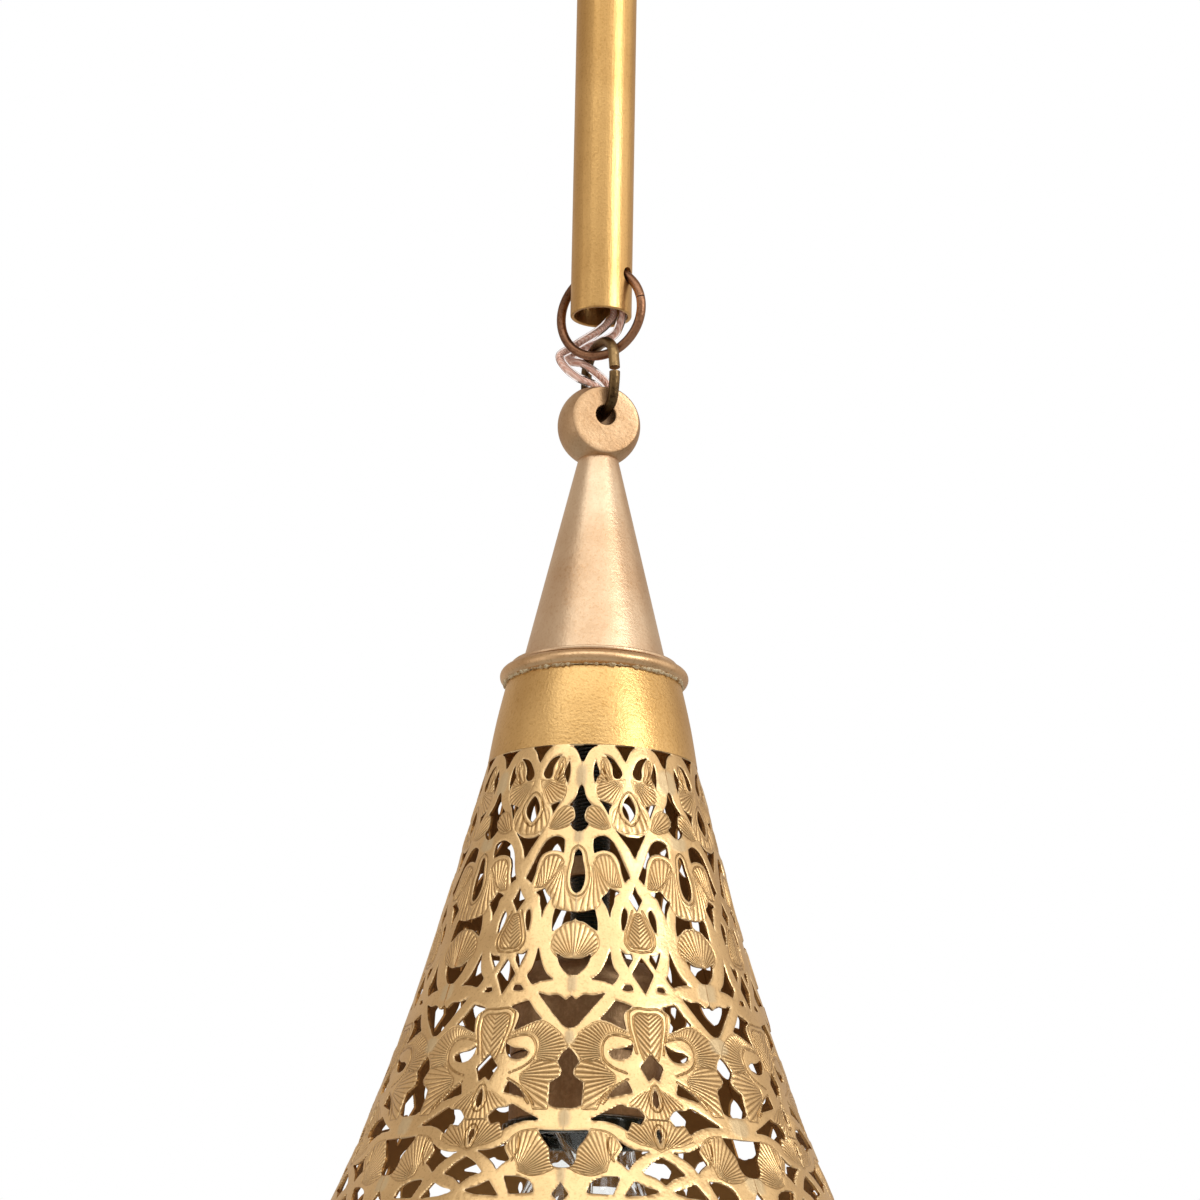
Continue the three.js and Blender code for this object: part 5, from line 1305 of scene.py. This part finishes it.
def threaded(low, high, per_turn=8, sides=48):
    """A tube whose outer radius falls by the depth and back with each pitch, one turn of the angle ahead;
    near both ends the thread runs out."""
    height = np.linspace(low, high, int((high - low) / THREAD_PITCH * per_turn))
    angle = even_angles(sides)
    turns = height[:, None] / THREAD_PITCH - angle[None, :] / (2 * pi)
    ridge = abs(turns % 1 * 2 - 1)
    fade = np.clip(np.minimum(height - low, high - height) / 0.6, 0, 1)[:, None]
    worn_down = (1 - fade) * 0.8 + fade * (1 - np.clip(ridge * 1.3 - 0.15, 0, 1))
    return walled(ROD_RADIUS - THREAD_DEPTH * worn_down, np.full(len(height), ROD_BORE_RADIUS), height, sides)


def black_lacquer():
    made = Finish("black_lacquer", metallic=0.3, ior=1.5)
    dust = made.noise(made.place(), 400, 3)
    return made.set(base_color=made.blend("14180F", "2B3326", dust), roughness=0.14 + dust * 0.14,
                    coat_weight=0.5 + dust * 0.3)


black_finish = black_lacquer()
piece("rod_thread", [threaded(*heights("threaded_rod"))], [black_finish], ["threaded_rod"], "shade_body")


def spun_copper(name, streaks):
    """Brown copper sheet, spun: streaks in the direction in which the noise is stretched."""
    made = Finish(name, metallic=0.9)
    lines = made.noise(made.place(streaks), 700, 3, 0.6)
    cloud = made.noise(made.place(), 90, 5, 0.65)
    fleck = made.noise(made.place(), 1100, 2)
    share = lines * 0.3 + cloud.rise(0.3, 0.7) * 0.4 + fleck.rise(0.4, 0.7) * 0.3
    colour = made.blend("B08A62", "E4BE92", share)
    return made.set(base_color=colour, roughness=0.3 + lines * 0.1, normal=made.bump(lines + fleck, 0.00008))


streaked_round = spun_copper("spun_copper", (0.4, 0.4, 5))
streaked_down = spun_copper("drawn_copper", (2.5, 2.5, 0.12))
NUT_RADIUS = 7.4
nut_foot, nut_top = heights("check_nut")
nut_outline = softened([(ROD_HOLE_RADIUS, nut_foot), (NUT_RADIUS, nut_foot), (NUT_RADIUS, nut_top),
                        (ROD_HOLE_RADIUS, nut_top)], [0.2, 0.7, 0.7, 0.2])
piece("rod_check_nut", [turned(nut_outline)], [streaked_round], ["check_nut"], "shade_body")

# Lampholder. A spun copper cap, a shell and a skirt of the same brown metal, and a glossy black rim, in a
# stack 38 mm across; inside them a white ceramic insulator holds the brass screw shell and its contact.
HOLDER_RADIUS = 19
HOLDER_WALL = 1
HOLDER_RIM_RADIUS = 20.6
CAP_FLAT_RADIUS = 7.8
CAP_CURVE_HEIGHT = 7
cap_foot, cap_top = heights("holder_cap")


def holder_cap():
    """A flat top, a quarter ellipse down to an upright side, and the same a wall further in."""
    turn = np.linspace(pi / 2, 0, 24)
    bulge = np.stack([CAP_FLAT_RADIUS + (HOLDER_RADIUS - CAP_FLAT_RADIUS) * np.cos(turn),
                      cap_top - CAP_CURVE_HEIGHT * (1 - np.sin(turn))], -1)
    outside = np.concatenate([[[ROD_HOLE_RADIUS, cap_top]], bulge, [[HOLDER_RADIUS, cap_foot]]])
    return turned(np.concatenate([outside, inset(outside[::-1], HOLDER_WALL)]), 128)


piece("holder_cap_spun", [holder_cap()], [streaked_round], ["holder_cap"], "shade_body")
inner = HOLDER_RADIUS - HOLDER_WALL
for node, radius, soft, finish, name, slot in (
        ("holder_shell", HOLDER_RADIUS, 0.4, streaked_down, "holder_shell_drawn", "holder_copper"),
        ("holder_skirt", HOLDER_RADIUS, 0.4, streaked_down, "holder_skirt_drawn", "holder_copper"),
        ("holder_rim", HOLDER_RIM_RADIUS, 1.1, black_finish, "holder_rim_ring", "holder_black")):
    foot, top = heights(node)
    outline = softened([(inner, foot), (radius, foot), (radius, top), (inner, top)], soft)
    piece(name, [turned(outline, 128)], [finish], [node], "shade_body")
INSULATOR_RADIUS = 17.7
INSULATOR_WALL = 1.6
INSULATOR_TOP = 4
ceramic = mottled("glazed_ceramic", "E6E1D5", "F4F1EA", (120, 3), 0.16, 0.1, 0.0001, ior=1.52)
foot, top = heights("holder_insulator")
insulator_outline = softened([
    (ROD_BORE_RADIUS, top), (INSULATOR_RADIUS, top), (INSULATOR_RADIUS, foot),
    (INSULATOR_RADIUS - INSULATOR_WALL, foot), (INSULATOR_RADIUS - INSULATOR_WALL, top - INSULATOR_TOP),
    (ROD_BORE_RADIUS, top - INSULATOR_TOP)], 0.4)
piece("insulator_body", [turned(insulator_outline)], [ceramic], ["holder_insulator"], "shade_body")
SCREW_PITCH = 3.6
SCREW_SHELL_RADIUS = 14.15
SCREW_SHELL_WALL = 0.4


def rolled_thread(mid, wall, swing, low, high, sides=96, per_turn=14):
    """A thin sleeve whose two faces swell and sink together as a sine of height less angle, one wave to a
    pitch, fading out at both ends."""
    height = np.linspace(low, high, int((high - low) / SCREW_PITCH * per_turn))
    angle = even_angles(sides)
    fade = np.clip(np.minimum(height - low, high - height) / 2, 0, 1)[:, None]
    wave = mid + swing * fade * np.sin(2 * pi * height[:, None] / SCREW_PITCH - angle[None, :])
    return walled(wave + wall / 2, wave - wall / 2, height, sides)


rolled_brass = mottled("rolled_brass", "E8C888", "B48C4C", (200, 4), 0.22, 0.15, metallic=1)
screw_shell = rolled_thread(SCREW_SHELL_RADIUS, SCREW_SHELL_WALL, 0.3, *heights("holder_screw_shell"))
piece("screw_shell_rolled", [screw_shell], [rolled_brass], ["holder_screw_shell"], "shade_body")
dress("holder_contact", rolled_brass)

# Bulb. A clear filament bulb, 60 mm across, with a nickel screw cap; a glass stem inside carries two hubs
# of wire and four straight yellow filaments. It turns in the lampholder as one piece.
base_foot, base_top = heights("bulb_base")
glass_foot, glass_top = heights("bulb_glass")
BASE_WALL_RADIUS = 12.55
BASE_RIM_RADIUS = 12.6
BASE_TIP_RADIUS = 4.5
BASE_TIP_HEIGHT = 1.5
BASE_SHOULDER_RADIUS = 11
BASE_SHOULDER_DROP = 4.5
BASE_RIM_DROP = 6.8
nickel = mottled("nickel_cap", "B9BAB8", "DEDEDC", (240, 4), 0.16, 0.14, metallic=1)
tip_outline = softened([
    (0, base_top), (BASE_TIP_RADIUS, base_top), (BASE_TIP_RADIUS, base_top - BASE_TIP_HEIGHT),
    (BASE_SHOULDER_RADIUS, base_top - BASE_SHOULDER_DROP), (BASE_RIM_RADIUS, base_top - BASE_RIM_DROP),
    (BASE_RIM_RADIUS - 1, base_top - BASE_RIM_DROP), (0, base_top - BASE_RIM_DROP + 0.8)],
    [0, 0.6, 0.3, 1, 0.3, 0.2, 0])
thread_top = base_top - BASE_RIM_DROP + 0.3
base_thread = rolled_thread(BASE_WALL_RADIUS, SCREW_SHELL_WALL, 0.28, base_foot, thread_top)
piece("bulb_cap", [turned(tip_outline), base_thread], [nickel], ["bulb_base"], "bulb_body")


def clear_glass(name, haze):
    made = Finish(name, transmission_weight=1.0, ior=1.46, base_color="FBFCFB")
    film = made.noise(made.place(), 40, 3)
    return made.set(roughness=haze * film, normal=made.bump(film, 0.0003))


BULB_RADIUS = 30
BULB_NECK_RADIUS = 12
BULB_NECK_HEIGHT = 7
GLASS_WALL = 0.9


def bulb_glass():
    """An S-shaped shoulder from the neck to a round bowl; the wall is even, square to the outline."""
    bowl = glass_foot + BULB_RADIUS
    neck = glass_top - BULB_NECK_HEIGHT
    t = np.linspace(0, 1, 28)
    swell = t * t * (3 - 2 * t)
    turn = np.linspace(0, pi / 2, 36)[1:]
    outside = np.concatenate([
        [[BULB_NECK_RADIUS, glass_top], [BULB_NECK_RADIUS, glass_top - BULB_NECK_HEIGHT / 2]],
        np.stack([BULB_NECK_RADIUS + (BULB_RADIUS - BULB_NECK_RADIUS) * swell, neck + (bowl - neck) * t], -1),
        np.stack([BULB_RADIUS * np.cos(turn), bowl - BULB_RADIUS * np.sin(turn)], -1)])
    within = inset(outside, GLASS_WALL)
    within[-1, 0] = 0
    outside[-1, 0] = 0
    return turned(np.concatenate([outside, within[::-1]]), 128)


piece("bulb_bowl", [bulb_glass()], [clear_glass("blown_glass", 0.02)], ["bulb_glass"], "bulb_body")
STEM_RADIUS = 2
STEM_FOOT_RADIUS = 10.7
STEM_FOOT_WALL = 0.8
STEM_NECK_RADIUS = 2.05
HUB_HEIGHTS = (base_top - 43, base_top - 77)
stem_top = heights("bulb_filament_cage")[1]
stem_outline = softened([(0, stem_top), (STEM_RADIUS, stem_top), (STEM_RADIUS, HUB_HEIGHTS[1] - 0.4),
                         (0, HUB_HEIGHTS[1] - 0.6)], [0, 0.3, 1, 0])
foot_outline = softened([
    (STEM_FOOT_RADIUS - STEM_FOOT_WALL, glass_top), (STEM_FOOT_RADIUS, glass_top),
    (STEM_NECK_RADIUS + 0.85, HUB_HEIGHTS[0] + 10), (STEM_NECK_RADIUS, HUB_HEIGHTS[0] + 6),
    (STEM_NECK_RADIUS, HUB_HEIGHTS[0] + 10)], [0.2, 0.2, 4, 0, 4])
piece("bulb_stem", [turned(stem_outline, 32), turned(foot_outline, 64)], [clear_glass("stem_glass", 0.05)],
      ["bulb_filament_cage"], "bulb_body")


def wire_between(start, end, radius, sides=12, steps=10):
    """A straight round wire with softened ends."""
    path = np.linspace(start, end, steps)
    return swept(path, *frames_along(path, np.array([0.3, 0.9, 0.2])), circle(radius, sides))


FILAMENT_REACH = 5.6
FILAMENT_RADIUS = 0.7
ARM_RADIUS = 0.25
HOOK = 1.5
filament = mottled("filament_yellow", "D9A94A", "F0CE7C", (900, 3), 0.5, 0.2, 0.0002, ior=1.45)
strips, arms = [], []
for i in range(4):
    angle = (i + 0.5) * pi / 2
    x, y = FILAMENT_REACH * cos(angle), FILAMENT_REACH * sin(angle)
    strips.append(wire_between((x, y, HUB_HEIGHTS[0] - HOOK), (x, y, HUB_HEIGHTS[1] + HOOK), FILAMENT_RADIUS))
    for height, inward in ((HUB_HEIGHTS[0], -HOOK), (HUB_HEIGHTS[1], HOOK)):
        arms.append(wire_between((0.3 * x, 0.3 * y, height), (x, y, height), ARM_RADIUS))
        arms.append(wire_between((x, y, height), (x, y, height + inward), ARM_RADIUS, steps=4))
piece("bulb_filaments", strips, [filament], ["bulb_filament_cage"], "bulb_body")
piece("bulb_arms", arms, [nickel], ["bulb_filament_cage"], "bulb_body")

# Studio. A pale floor under a ceiling 2.3 m high, a soft light to the right of the camera, a wide one above
# it and weak ones at both sides; the room is white to the camera and greyer where metal mirrors it.
FLOOR_HEIGHT = -2.3
FLOOR_REACH = 4
floor_mesh = bpy.data.meshes.new("floor")
floor_corners = [(x * FLOOR_REACH, y * FLOOR_REACH, FLOOR_HEIGHT)
                 for x, y in ((-1, -1), (1, -1), (1, 1), (-1, 1))]
floor_mesh.from_pydata(floor_corners, [], [(0, 1, 2, 3)])
floor = bpy.data.objects.new("floor", floor_mesh)
bpy.context.collection.objects.link(floor)
floor_finish = Finish("pale_floor", roughness=0.7)
speck = floor_finish.noise(floor_finish.place(), 8, 3)
shown = floor_finish.add("ShaderNodeLightPath", out="Is Camera Ray").larger(
    floor_finish.add("ShaderNodeLightPath", out="Is Transmission Ray"))
floor_finish.set(base_color=floor_finish.blend("E6E6E4", "EFEFED", speck),
                 emission_color=floor_finish.blend("000000", "FFFFFF", shown), emission_strength=0.42)
floor_mesh.materials.append(floor_finish.material)


def soft_light(name, where, target, width, height, watts, colour=(1, 1, 1)):
    """An area lamp that faces a target."""
    data = bpy.data.lights.new(name, "AREA")
    data.shape = "RECTANGLE"
    data.size, data.size_y, data.energy, data.color = width, height, watts, colour
    lamp = bpy.data.objects.new(name, data)
    way = Vector(target) - Vector(where)
    lamp.matrix_world = Matrix.Translation(where) @ way.to_track_quat("-Z", "Y").to_matrix().to_4x4()
    bpy.context.collection.objects.link(lamp)


LAMP_MIDDLE = (0, 0, -0.42)
soft_light("key_light", (1.22, -1.0, 0.27), LAMP_MIDDLE, 0.6, 0.6, 8.8, (0.95, 0.98, 1))
soft_light("side_light", (1.6, 0.05, 0.15), LAMP_MIDDLE, 0.9, 1.3, 2.5)
soft_light("top_light", (-0.04, -1.15, 0.85), LAMP_MIDDLE, 2.8, 0.9, 12.4, (0.94, 0.98, 1))
soft_light("left_light", (-1.5, -0.55, -0.3), LAMP_MIDDLE, 0.5, 1.2, 1.8)

world = bpy.data.worlds.new("room")
bpy.context.scene.world = world
room = Nodes(world)
ray = {out: room.add("ShaderNodeLightPath", out=out)
       for out in ("Is Camera Ray", "Is Glossy Ray", "Is Transmission Ray")}
heading = room.add("ShaderNodeTexCoord", out="Generated")
ahead = room.add("ShaderNodeSeparateXYZ", None, {0: heading}, 1)
mirrored = 0.46 + ahead.rise(-0.2, 0.9) * 0.1
plain = 0.5
seen = ray["Is Camera Ray"].larger(ray["Is Transmission Ray"])
glossy = ray["Is Glossy Ray"] * (1 - seen)
strength = seen + glossy * mirrored + (1 - seen) * (1 - ray["Is Glossy Ray"]) * plain
background = room.tree.nodes["Background"]
room.feed(background.inputs["Strength"], strength)
room.feed(background.inputs["Color"], room.blend("FFFFFF", "FFF0E0", glossy))
bpy.context.scene.view_settings.view_transform = "Standard"
